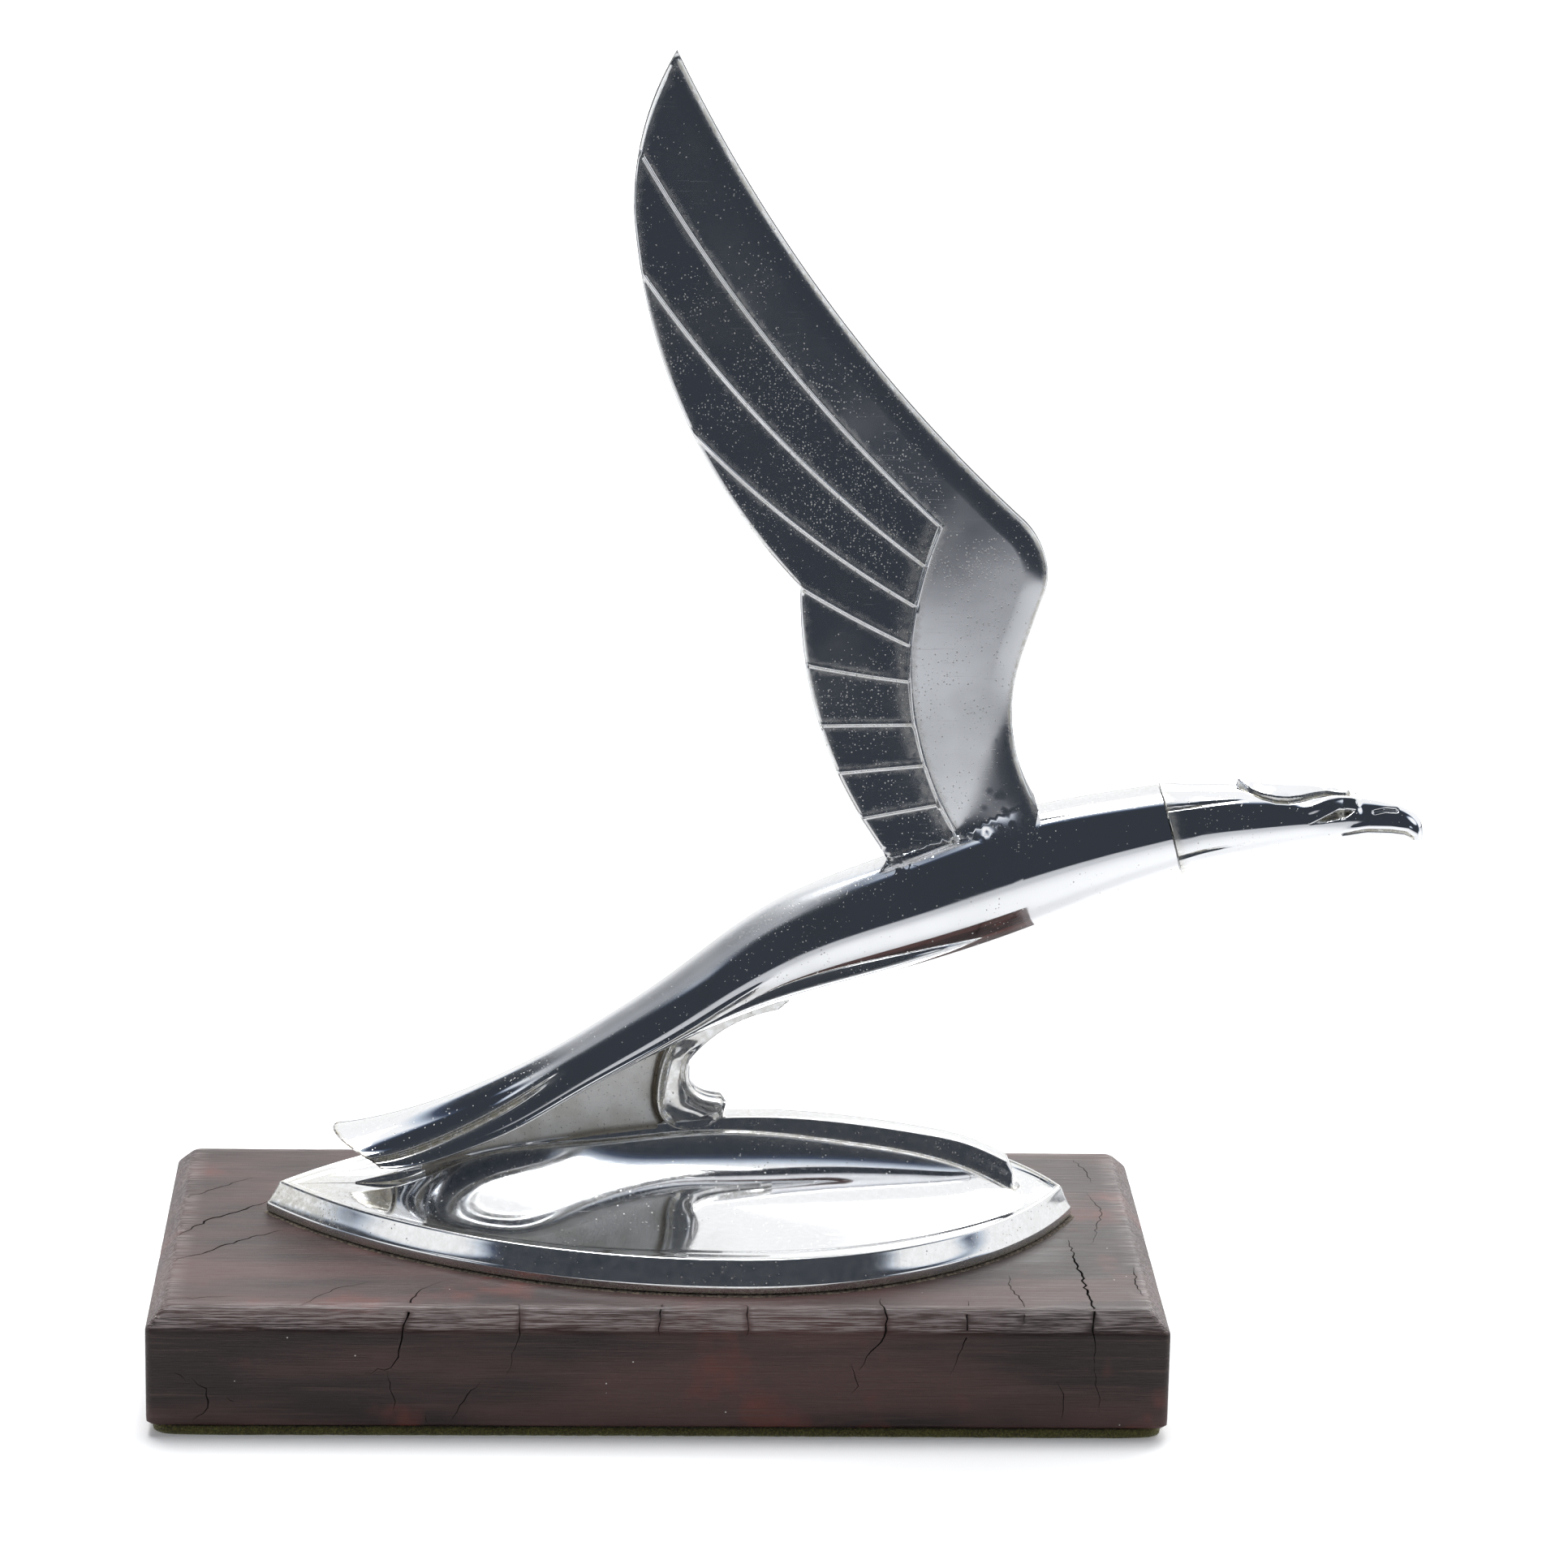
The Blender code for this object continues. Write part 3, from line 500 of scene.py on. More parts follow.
class Shader(Nodes):
    """The nodes of one new material."""

    def __init__(self, name, colour):
        self.material = bpy.data.materials.new(name)
        self.material.use_nodes = True
        self.material.diffuse_color = (*colour, 1.0)
        super().__init__(self.material.node_tree)
        self.surface = self.tree.nodes["Principled BSDF"]
        self.place = self.add("ShaderNodeTexCoord").outputs["Object"]

    def mark(self, name):
        """A piece's own mark, from 0 to 1."""
        return self.add("ShaderNodeAttribute", attribute_name=name).outputs["Fac"]

    def stretched(self, x, y, z):
        """Object coordinates divided by a feature size in millimetres along each axis."""
        return self.vectors("MULTIPLY", self.place, (1.0 / (x * MM), 1.0 / (y * MM), 1.0 / (z * MM)))[0]

    def texture(self, kind, size):
        """A texture with features of this size in millimetres, or of a size for each axis."""
        node = self.add(kind)
        streaked = isinstance(size, tuple)
        self.put(node.inputs["Vector"], self.stretched(*size) if streaked else self.place)
        node.inputs["Scale"].default_value = 1.0 if streaked else 1.0 / (size * MM)
        return node

    def noise(self, size, detail=3.0, rough=0.55):
        node = self.texture("ShaderNodeTexNoise", size)
        node.inputs["Detail"].default_value = detail
        node.inputs["Roughness"].default_value = rough
        return node.outputs["Fac"]

    def cells(self, size):
        """Distance to the nearest cell point, and a random value of that cell."""
        node = self.texture("ShaderNodeTexVoronoi", size)
        pick = self.add("ShaderNodeSeparateColor")
        self.put(pick.inputs[0], node.outputs["Color"])
        return node.outputs["Distance"], pick.outputs[0]

    def relief(self, height, depth):
        """Bends the normal by a height from 0 to 1 that stands for this depth in millimetres."""
        node = self.add("ShaderNodeBump")
        node.inputs["Strength"].default_value = 1.0
        node.inputs["Distance"].default_value = depth * MM
        self.put(node.inputs["Height"], height)
        self.put(self.surface.inputs["Normal"], node.outputs[0])

    def finish(self, colour, roughness, metallic=0.0):
        self.put(self.surface.inputs["Base Color"], colour)
        self.put(self.surface.inputs["Roughness"], roughness)
        self.put(self.surface.inputs["Metallic"], metallic)
        return self.material


def chrome_material():
    """Old chrome plate: mirror-bright, with pits, tarnish in the recesses and faint scratches.

    The mark "pits" sets how thickly the plate is pitted and "haze" where it is dull. The tarnish mark sets
    where it is tarnished; where that mark runs deepest the tarnish turns near-black, as painted shade in
    the deepest recesses.
    """
    look = Shader("old_chrome", (0.78, 0.78, 0.77))
    crowd = look.times(look.mark("pits"), look.remap(look.noise(14.0, 2.0), 0.40, 0.64, 0.08, 1.15))
    holes = 0.0
    for size, share in ((0.55, 0.55), (0.286, 0.3025)):
        far, chance = look.cells(size)
        here = look.maths("LESS_THAN", chance, look.times(crowd, share))
        holes = look.larger(look.times(look.remap(far, 0.30, 0.12), here), holes)
    ripple = look.times(look.noise(7.0, 1.0), 0.25)
    look.relief(look.maths("SUBTRACT", ripple, look.times(holes, 0.35)), 0.04)
    mottle = look.remap(look.noise(1.3, 4.0, 0.65), 0.3, 0.62, 0.25, 1.1)
    # Tarnish, with painted shade where the mark runs deepest
    tarnish_and_shade = look.times(look.mark("tarnish_and_shade"), mottle, clamp=True)
    dull = look.remap(look.noise(22.0, 3.0), 0.42, 0.75)
    plate = look.blend(dull, (0.80, 0.81, 0.83), (0.72, 0.73, 0.74))
    tarnish = look.blend(look.noise(0.8, 2.0), (0.34, 0.31, 0.22), (0.56, 0.52, 0.40))
    # Painted shade: where the tarnish mark runs deepest the colour turns near-black
    tarnish = look.blend(look.remap(look.mark("tarnish_and_shade"), 0.78, 1.0), tarnish, (0.07, 0.06, 0.05))
    colour = look.blend(holes, look.blend(tarnish_and_shade, plate, tarnish), (0.46, 0.45, 0.42))
    scratch = look.remap(look.noise((9.0, 0.35, 0.22), 2.0), 0.66, 0.74)
    haze = look.mark("haze")
    rough = 0.035
    for cause, gain in ((dull, 0.09), (scratch, 0.10), (tarnish_and_shade, 0.38), (haze, 0.34), (holes, 0.5)):
        rough = look.plus(look.times(cause, gain), rough)
    dulled = look.larger(look.times(tarnish_and_shade, 0.55), look.times(holes, 0.5))
    return look.finish(colour, rough, look.maths("SUBTRACT", 1.0, dulled))


def satin_material():
    """The web's cast face: plated over a rough casting, so grey and sparkling."""
    look = Shader("satin_casting", (0.6, 0.6, 0.58))
    grain = look.noise(0.55, 5.0, 0.7)
    look.relief(grain, 0.22)
    patch = look.remap(look.noise(6.0, 3.0), 0.35, 0.7)
    colour = look.blend(patch, (0.88, 0.87, 0.85), (0.70, 0.69, 0.64))
    # Painted shade: the tarnish mark darkens the web along its foot and in the slot by the leg
    colour = look.blend(look.mark("tarnish_and_shade"), colour, (0.24, 0.20, 0.14))
    return look.finish(colour, look.remap(grain, 0.3, 0.7, 0.26, 0.42), 0.72)


def wood_material():
    """Dark, dry rosewood-like plinth: mauve-brown bloom, red streaks, fine grain along X, dust.

    The mark "worn" is high on the bevels and edges.
    """
    look = Shader("dark_wood_block", (0.14, 0.075, 0.06))
    band = look.noise((60.0, 14.0, 14.0), 3.0, 0.5)
    streak = look.noise((26.0, 0.75, 0.75), 4.0, 0.6)
    colour = look.blend(look.remap(band, 0.38, 0.62), (0.018, 0.0075, 0.0065), (0.068, 0.030, 0.026))
    red = look.remap(look.noise(17.0, 3.0, 0.6), 0.56, 0.74)
    colour = look.blend(look.times(red, 0.75), colour, (0.125, 0.028, 0.018))
    colour = look.blend(look.remap(streak, 0.5, 0.72, 0.0, 0.5), colour, (0.085, 0.052, 0.046))
    rub = look.noise((9.0, 0.28, 0.28), 3.0, 0.7)
    worn = look.times(look.mark("worn"), look.remap(rub, 0.42, 0.62), clamp=True)
    colour = look.blend(look.times(worn, 0.9), colour, (0.235, 0.195, 0.19))
    far, chance = look.cells(2.3)
    speck = look.times(look.maths("LESS_THAN", chance, 0.11), look.remap(far, 0.075, 0.045))
    colour = look.blend(look.times(speck, 0.8), colour, (0.62, 0.58, 0.54))
    look.relief(look.plus(look.times(streak, 0.5), look.times(rub, 0.5)), 0.16)
    look.surface.inputs["Specular IOR Level"].default_value = 0.42
    return look.finish(colour, look.remap(streak, 0.3, 0.7, 0.40, 0.56))


def crack_inside_material():
    """The dark, dusty inside of a crack."""
    look = Shader("crack_inside", (0.01, 0.008, 0.006))
    colour = look.blend(look.noise(0.5, 3.0), (0.008, 0.005, 0.004), (0.03, 0.018, 0.014))
    return look.finish(colour, 0.9)


def felt_material(name, pale):
    """Olive-green wool felt."""
    look = Shader(name, (0.17, 0.19, 0.06))
    fleck = look.noise(0.35, 4.0, 0.7)
    patch = look.remap(look.noise(9.0, 2.0), 0.35, 0.7)
    colour = look.blend(patch, (0.050, 0.044, 0.008), (0.085, 0.078, 0.012))
    colour = look.blend(look.remap(fleck, 0.4, 0.7), colour, pale)
    look.relief(fleck, 0.3)
    look.surface.inputs["Sheen Weight"].default_value = 0.35
    look.surface.inputs["Sheen Roughness"].default_value = 0.5
    return look.finish(colour, 0.92)


def grime_material():
    """Dried polish and dust that has gathered where the chrome meets the wood."""
    look = Shader("dried_polish", (0.1, 0.08, 0.06))
    crumb = look.noise(0.6, 4.0, 0.7)
    look.relief(crumb, 0.25)
    colour = look.blend(look.remap(crumb, 0.38, 0.66), (0.035, 0.024, 0.018), (0.22, 0.18, 0.13))
    return look.finish(colour, 0.85)


def turned_metal_material(name, dark, light, streak_size, rough):
    """Machined steel or brass: fine turning lines, a little staining."""
    look = Shader(name, light)
    line = look.noise((2.5, 2.5, streak_size), 3.0, 0.6)
    stain = look.remap(look.noise(3.2, 4.0, 0.6), 0.48, 0.7)
    look.relief(line, 0.03)
    colour = look.blend(look.remap(line, 0.3, 0.7), light, tuple(c * 0.82 for c in light))
    colour = look.blend(look.times(stain, 0.6), colour, dark)
    return look.finish(colour, look.remap(stain, 0.0, 1.0, rough, rough + 0.22), 1.0)


def floor_material():
    """White studio table, lit a little from below, and more so far from the object."""
    look = Shader("studio_white", (0.9, 0.9, 0.9))
    reach = look.vectors("LENGTH", look.place)["Value"]
    look.put(look.surface.inputs["Emission Color"], (1.0, 1.0, 1.0, 1.0))
    look.put(look.surface.inputs["Emission Strength"], look.remap(reach, 0.25, 1.3, 0.14, 0.6))
    look.material.cycles.emission_sampling = "NONE"
    rough = look.plus(look.times(look.noise(300.0, 1.0), 0.02), 0.74)
    return look.finish((0.91, 0.91, 0.915, 1.0), rough)


def card_material():
    """What the chrome sees of the table: white near the object, then grey, and dark at the edge."""
    look = Shader("studio_card", (0.6, 0.6, 0.6))
    back = look.split(look.place)["Y"]
    reach = look.vectors("LENGTH", look.stretched(*CARD_REACH, 1000.0))["Value"]
    ahead = look.remap(back, 0.0, -0.08)
    grey = look.larger(look.times(ahead, look.remap(reach, 0.30, 0.62)), look.remap(back, 0.05, 0.25))
    dark = look.larger(look.times(ahead, look.remap(reach, 0.86, 1.14)), look.remap(back, 0.26, 0.68))
    colour = look.blend(grey, (0.80, 0.80, 0.80), (0.50, 0.505, 0.52))
    return look.finish(look.blend(dark, colour, (0.02, 0.025, 0.04)), 0.75)


# ---- bird's body ----


def groove_angle(tail):
    """Where the groove between the tail feathers runs, down from the top."""
    return GROOVE_ANGLES[0] + (GROOVE_ANGLES[1] - GROOVE_ANGLES[0]) * tail


def body_angles(tail):
    """Section angles that keep columns on the tail feathers' groove and on the lower edge."""
    groove = groove_angle(tail)
    return section_columns((0.0, groove - 3.0, groove + 5.0, 86.0, 93.0, 180.0), (36, 16, 18, 12, 26))


def tail_share(x):
    """0 ahead of the groove between the tail feathers, 1 at the tail's end."""
    return np.clip((GROOVE_START_X - x) / (GROOVE_START_X - TAIL_END_X), 0.0, 1.0)


def body_lift(angles, tail, x):
    """Relief on the body: overlapping tail feathers and a lip along the lower edge."""
    near = from_top(angles)
    past = near - groove_angle(tail)
    deep = 0.85 * smooth_step(0.0, 0.4, tail)
    step = smooth_step(-0.8, 1.8, past) * (1.0 - smooth_step(1.8, 11.0, past))
    lap = 0.22 * deep * bump(past + 3.0, 5.0)
    lip = 0.4 * smooth_step(20.0, 2.0, x) * bump(near - 89.5, 2.4)
    under = -0.35 * smooth_step(20.0, 2.0, x) * bump(near - 99.0, 5.0)
    return lap - deep * step + lip + under


def body_tarnish_and_shade(angles, tail, x):
    """Tarnish in the groove, under the lower edge, on the top and at the tail's end, with painted shade: at
    the tail's open end and deepest in the groove the chrome turns near-black.
    """
    near = from_top(angles)
    groove = 0.75 * smooth_step(0.02, 0.3, tail) * bump(near - groove_angle(tail) - 4.0, 5.0)
    under = 0.6 * smooth_step(24.0, 0.0, x) * bump(near - 98.0, 6.0)
    top = 0.12 * smooth_step(30.0, 8.0, near)
    end = 1.1 * smooth_step(TAIL_END_X + 1.0, TAIL_END_X + 0.2, x)
    return np.maximum.reduce([groove, under, top, np.broadcast_to(end, near.shape)])


def bore_ring(angles, radius):
    """A circle about the neck's axis, with a point at each section angle."""
    turn = np.radians(angles)[:, None]
    return radius * (np.cos(turn) * NECK_UP - np.sin(turn) * np.array((0.0, 1.0, 0.0)))


def make_body(material):
    x = np.concatenate([np.linspace(TAIL_END_X, -20.0, 90), np.linspace(-20.0, NECK[0], 190)[1:]])
    rows = natural_curve(BODY[:, 0], BODY, x)
    tail = tail_share(x)
    angles = np.array([body_angles(share) for share in tail])
    x = x[:, None]
    tail = tail[:, None]
    back = smooth_step(0.55, 1.0, tail) * np.clip(np.cos(np.radians(angles)), 0.0, 1.0) ** 1.15
    points = section_grid(rows, angles, body_lift(angles, tail, x), TAIL_REACH * back)
    points[-1] = section_grid(rows[-1:], angles[-1:])[0] - NECK_AXIS * (GAP / 2)

    rings = []
    tarnish_and_shade_rings = []
    count = angles.shape[1]
    middle = points[0].mean(axis=0)
    # The tail's end is an open shell: its wall turns in and goes a little way forward again. Its inside is
    # darkened with tarnish and painted shade.
    for shrink, ahead in ((0.80, 4.0), (0.86, 0.6), (0.91, 0.0), (0.975, -0.12)):
        rings.append(middle + (points[0] - middle) * shrink + np.array((ahead, 0.0, ahead * 0.25)))
        tarnish_and_shade_rings.append(np.full(count, 0.75 if shrink < 0.9 else 0.3))
    rings.extend(points)
    tarnish_and_shade_rings.extend(body_tarnish_and_shade(angles, tail, x))
    ring = points[-1] - NECK
    length = np.linalg.norm(ring, axis=1)[:, None]
    for inset, behind in ((0.25, 0.0), (2.6, 0.02)):
        rings.append(NECK + ring * (1.0 - inset / length) + NECK_AXIS * (GAP / 4 - behind))
        tarnish_and_shade_rings.append(np.full(count, 0.5))
    socket = bore_ring(angles[-1], SOCKET_RADIUS)
    for depth, share in ((GAP / 2, 1.0), (SOCKET_DEPTH, 1.0), (SOCKET_DEPTH + 2.0, 0.2)):
        rings.append(NECK - NECK_AXIS * depth + socket * share)
        tarnish_and_shade_rings.append(np.full(count, 0.4))

    stations = np.concatenate([np.repeat(x[:1], 4, axis=0), x, np.repeat(x[-1:], 5, axis=0)])
    near = from_top(angles[0])
    pits = 0.16 + 0.55 * bump(near - 38.0, 26.0) * smooth_step(-50.0, -5.0, stations)
    pits = pits * (1.0 - 0.5 * smooth_step(60.0, 85.0, stations))
    haze = smooth_step(76.0, 52.0, near) * smooth_step(-30.0, -12.0, stations)
    haze = haze * smooth_step(46.0, 18.0, stations)
    points, faces = closed_tube(rings)
    marks = {"tarnish_and_shade": np.array(tarnish_and_shade_rings).ravel(), "pits": pits.ravel(), "haze": haze.ravel()}
    obj = make_piece("eagle_body", placed(points), faces, material, marks=marks, sharp=42.0)
    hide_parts("body")


# ---- plates with relief: wings, web and leg ----


TRIANGLE_HEIGHT = 0.866  # of an even-sided triangle with sides of 1


def fill_outline(outline, lines, step):
    """Triangulates an outline with lines in it and an even sprinkling of points between them."""
    points = []
    edges = []

    def add_line(line, loop):
        first = len(points)
        points.extend(Vector(p) for p in line)
        edges.extend((first + i, first + i + 1) for i in range(len(line) - 1))
        if loop:
            edges.append((len(points) - 1, first))

    outline = np.asarray(outline, float)
    add_line(outline, True)
    for line in lines:
        line = np.asarray(line, float)
        add_line(line[inside(outline, line)], False)
    low = outline.min(axis=0)
    high = outline.max(axis=0)
    rows = np.arange(low[1], high[1], step * TRIANGLE_HEIGHT)
    free = []
    for number, height in enumerate(rows):
        across = np.arange(low[0] + (number % 2) * step / 2, high[0], step)
        free.append(np.stack([across, np.full(len(across), height)], axis=1))
    free = np.concatenate(free)
    free = free[inside(outline, free)]
    room = np.abs(distance_to(np.vstack([outline, outline[:1]]), free))
    for line in lines:
        room = np.minimum(room, np.abs(distance_to(line, free)))
    points.extend(Vector(p) for p in free[room > step * 0.42])
    made, _, faces, _, _, _ = delaunay_2d_cdt(points, edges, [], 1, 1e-4)
    return np.array([tuple(p) for p in made]), [tuple(face) for face in faces]


def border_edges(faces):
    """Edges of the triangulation with a face on one side only."""
    used = set()
    for face in faces:
        used.update(zip(face, (*face[1:], face[0])))
    return [(a, b) for a, b in used if (b, a) not in used]


def relief_plate(flat, faces, outer, inner, side, slopes):
    """Points, faces and loop normals of a plate with its faces at outer and inner, on one side."""
    count = len(flat)
    points = np.concatenate([np.insert(flat, 1, side * height, axis=1) for height in (outer, inner)])
    shell = [tuple(face) for face in faces]
    backs = [tuple(i + count for i in reversed(face)) for face in faces]
    rims = [(b, a, a + count, b + count) for a, b in border_edges(faces)]
    if side > 0:
        shell, backs, rims = ([tuple(reversed(f)) for f in group] for group in (shell, backs, rims))
    bent = np.stack([-slopes[:, 0], np.full(count, float(side)), -slopes[:, 1]], axis=1)
    bent /= np.linalg.norm(bent, axis=1)[:, None]
    normals = [bent[i] for face in shell for i in face]
    for face in backs + rims:
        corner = points[list(face)]
        flat_normal = np.cross(corner[1] - corner[0], corner[2] - corner[0])
        flat_normal /= max(np.linalg.norm(flat_normal), 1e-12)
        normals.extend([flat_normal] * len(face))
    return points, shell + backs + rims, normals


def slopes_of(surface, flat):
    """Slopes of a height over the plane, by differences."""
    step = 0.04
    steepest = 9.0
    found = []
    for shift in ((step, 0.0), (0.0, step)):
        rise = surface(flat + np.array(shift)) - surface(flat - np.array(shift))
        found.append(np.clip(rise / (2.0 * step), -steepest, steepest))
    return np.stack(found, axis=1)


def rolled(distance, radius):
    """A quarter-round edge: 0 at the edge and 1 a radius in from it."""
    short = 1.0 - np.clip(distance / radius, 0.0, 1.0)
    return np.sqrt(np.clip(1.0 - short * short, 0.0, 1.0))


def body_distance(x, y, z):
    """About how far a point is outside the body's skin."""
    rows = natural_curve(BODY[:, 0], BODY, np.linspace(20.0, NECK[0], 160))
    gap_x = x[:, None] - rows[None, :, 0]
    gap_z = z[:, None] - rows[None, :, 1]
    nearest = np.argmin(gap_x**2 + gap_z**2, axis=1)
    row = rows[nearest]
    tilt = np.radians(row[:, 2])
    height = -(x - row[:, 0]) * np.sin(tilt) + (z - row[:, 1]) * np.cos(tilt)
    tall = np.where(height > 0.0, row[:, 3], row[:, 4])
    reach = np.hypot(height / tall, y / row[:, 5])
    return (reach - 1.0) * 0.5 * (tall + row[:, 5])


BEYOND = 40.0  # farther than any two of the wing's lines are apart


class WingShape:
    """The wing's relief: leading panel, covert ridge, quills and overlapping feathers."""

    def __init__(self):
        self.leading = chain(
            WING_TIP,
            (WING_SHOULDER, -4.7, 60),
            (WING_NOSE, 1.05, 12),
            (WING_CHIN, 0.4, 8),
            (WING_THROAT, 0.0, 8),
            (WING_FRONT_ROOT, -3.2, 26),
        )
        self.trailing = chain(
            WING_REAR_ROOT, (WING_NOTCH, 4.4, 40), (WING_BELLY, 6.4, 50), (WING_TIP, 2.1, 24)
        )
        self.quills = [chain(start, (end, -bow, 48 if bow > 1.0 else 20)) for start, end, bow in QUILLS]
        self.covert = chain(COVERT_TOP, (COVERT_FOOT, -COVERT_BOW, 48))
        # Panel's inner border: first quill, then down the covert. The panel is on its left.
        self.border = np.vstack([self.quills[0], self.covert[1:]])

    def outline(self):
        tenon = chain(
            WING_FRONT_ROOT, (TENON_FRONT, 0.0, 6), (TENON_REAR, 0.0, 10), (WING_REAR_ROOT, 0.0, 5)
        )
        return np.vstack([self.leading, tenon[1:], self.trailing[1:-1]])

    def guides(self):
        """Lines that the mesh follows, so that ridges and rolled edges stay crisp."""
        shifts = (-0.7, -0.42, -0.28, -0.12, 0.0, 0.12, 0.28, 0.42, 0.7)
        depths = (0.12, 0.3, 0.6, 1.0, 1.5, 2.1, 2.8, 3.6, LEADING_ROLL)
        lines = [offset(line, shift) for line in (*self.quills, self.covert) for shift in shifts]
        lines += [offset(self.leading[1:-1], -depth) for depth in depths]
        lines += [offset(self.trailing[2:-2], -depth) for depth in (0.1, 0.3, 0.55, 0.85)]
        return lines

    def thickness(self, flat):
        """The plate's thickness with its relief, thinning at both edges."""
        lead = np.abs(distance_to(self.leading, flat))
        trail = np.abs(distance_to(self.trailing, flat))
        panel_side = distance_to(self.border, flat)
        above = np.full(len(flat), BEYOND)
        below = np.full(len(flat), BEYOND)
        ridge = np.abs(distance_to(self.covert, flat))
        for line in self.quills:
            away = distance_to(line, flat)
            ridge = np.minimum(ridge, np.abs(away))
            above = np.where(away < 0.0, np.minimum(above, -away), above)
            below = np.where(away >= 0.0, np.minimum(below, away), below)
        ramp = above / (above + below)
        feather = FEATHER_STEP * (ramp * smooth_step(-0.3, 0.3, below) + smooth_step(-0.3, 0.3, -above))
        feather += 1.02 - 0.10 * smooth_step(0.0, 8.0, trail)
        thick = feather + (WING_THICK - feather) * smooth_step(-0.35, 0.35, panel_side)
        thick = thick + QUILL_RISE * (1.0 - smooth_step(0.0, QUILL_HALF, ridge)) ** 0.85
        x, z = flat.T
        thick = thick + 0.035 * np.sin(x / 5.1 + z / 9.3) + 0.03 * np.sin(z / 6.7 - x / 11.0)
        edge = np.minimum(rolled(lead, LEADING_ROLL), rolled(trail, TRAILING_ROLL))
        return WING_EDGE + (thick - WING_EDGE) * edge

    def inner_face(self, flat):
        """The face next to the other wing, which leans out from it toward the tip."""
        return WING_INNER + WING_SPREAD * (flat[:, 1] - WING_ROOT_Z)

    def surface(self, flat):
        """Outer face: the plate, filleted into the body at its root. It is found by halving."""
        x, z = flat.T
        plate = self.inner_face(flat) + self.thickness(flat)
        panel = smooth_step(-2.0, 17.0, distance_to(self.covert, flat))
        soft = 1.0 + 15.0 * panel
        low = plate - 0.5
        high = np.maximum(plate, 12.0) + 2.0
        root = z < FILLET_TOP
        fillet = smooth_step(56.0, 90.0, z)  # it dies out down the body's side
        for _ in range(HALVINGS):
            middle = (low + high) / 2.0
            to_plate = middle - plate
            to_body = np.full(len(flat), BEYOND)
            to_body[root] = body_distance(x[root], middle[root], z[root])
            near = np.clip(soft - np.abs(to_plate - to_body), 0.0, None) / soft
            outside = np.minimum(to_plate, to_body) - fillet * near**2 * soft / 4.0 > 0.0
            high = np.where(outside, middle, high)
            low = np.where(outside, low, middle)
        found = (low + high) / 2.0
        merged = smooth_step(0.4, 1.2, found - plate) * smooth_step(80.0, 74.0, z)
        return found - 0.03 * merged


def make_wings(material):
    shape = WingShape()
    flat, faces = fill_outline(shape.outline(), shape.guides(), GRID_STEP)
    outer = shape.surface(flat)
    slopes = slopes_of(shape.surface, flat)
    inner = shape.inner_face(flat)
    ridge = np.min([np.abs(distance_to(line, flat)) for line in (*shape.quills, shape.covert)], axis=0)
    lead = np.abs(distance_to(shape.leading, flat))
    trail = np.abs(distance_to(shape.trailing, flat))
    panel = smooth_step(-1.0, 1.0, distance_to(shape.border, flat))
    by_covert = bump(np.clip(-distance_to(shape.covert, flat), 0.0, None) - 1.2, 1.3) * (1.0 - panel)
    by_ridges = np.maximum(0.3 * bump(ridge - 0.6, 0.3), 0.35 * by_covert)
    by_edges = np.maximum(0.6 * bump(lead - 0.55, 0.35), 0.25 * bump(trail - 0.6, 0.4))
    tarnish_and_shade = np.maximum(by_ridges, by_edges)
    x, z = flat.T
    feathers = (1.0 - panel) * (0.30 + 0.6 * smooth_step(190.0, 140.0, z) * smooth_step(108.0, 118.0, z))
    feathers += (1.0 - panel) * 0.22 * smooth_step(112.0, 104.0, z)
    shoulder = panel * 0.95 * bump(np.hypot((x - 50.0) / 1.4, z - 121.0), 8.0)
    lower = panel * (0.40 + 0.15 * smooth_step(118.0, 100.0, z))
    pits = feathers + shoulder + lower
    haze = panel * (0.22 + 0.3 * smooth_step(94.0, 84.0, z)) + (1.0 - panel) * 0.12
    haze = haze * smooth_step(70.0, 80.0, z)
    # The inner face has the same points, with even marks
    found = {"tarnish_and_shade": (tarnish_and_shade, 0.3), "pits": (pits, 0.2), "haze": (haze, 0.0)}
    marks = {mark: np.append(values, np.full(len(flat), even)) for mark, (values, even) in found.items()}
    for hand, side in (("right", -1), ("left", 1)):
        points, shell, normals = relief_plate(flat, faces, outer, inner, side, slopes)
        name = f"eagle_wing_{hand}"
        points = placed(points)
        obj = make_piece(name, points, shell, material, marks=marks, normals=normals)
        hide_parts(f"{hand}_wing")


def two_sided_plate(outline, lines, step, surface, name, material, marks):
    """A plate with the same relief on both sides of the middle plane."""
    flat, faces = fill_outline(outline, lines, step)
    outer = surface(flat)
    slopes = slopes_of(surface, flat)
    marks = {mark: np.tile(value(flat), 2) for mark, value in marks.items()}
    for hand, side in (("right", -1), ("left", 1)):
        points, shell, normals = relief_plate(flat, faces, outer, np.zeros(len(flat)), side, slopes)
        points = placed(points)
        make_piece(f"{name}_{hand}", points, shell, material, marks=marks, normals=normals)


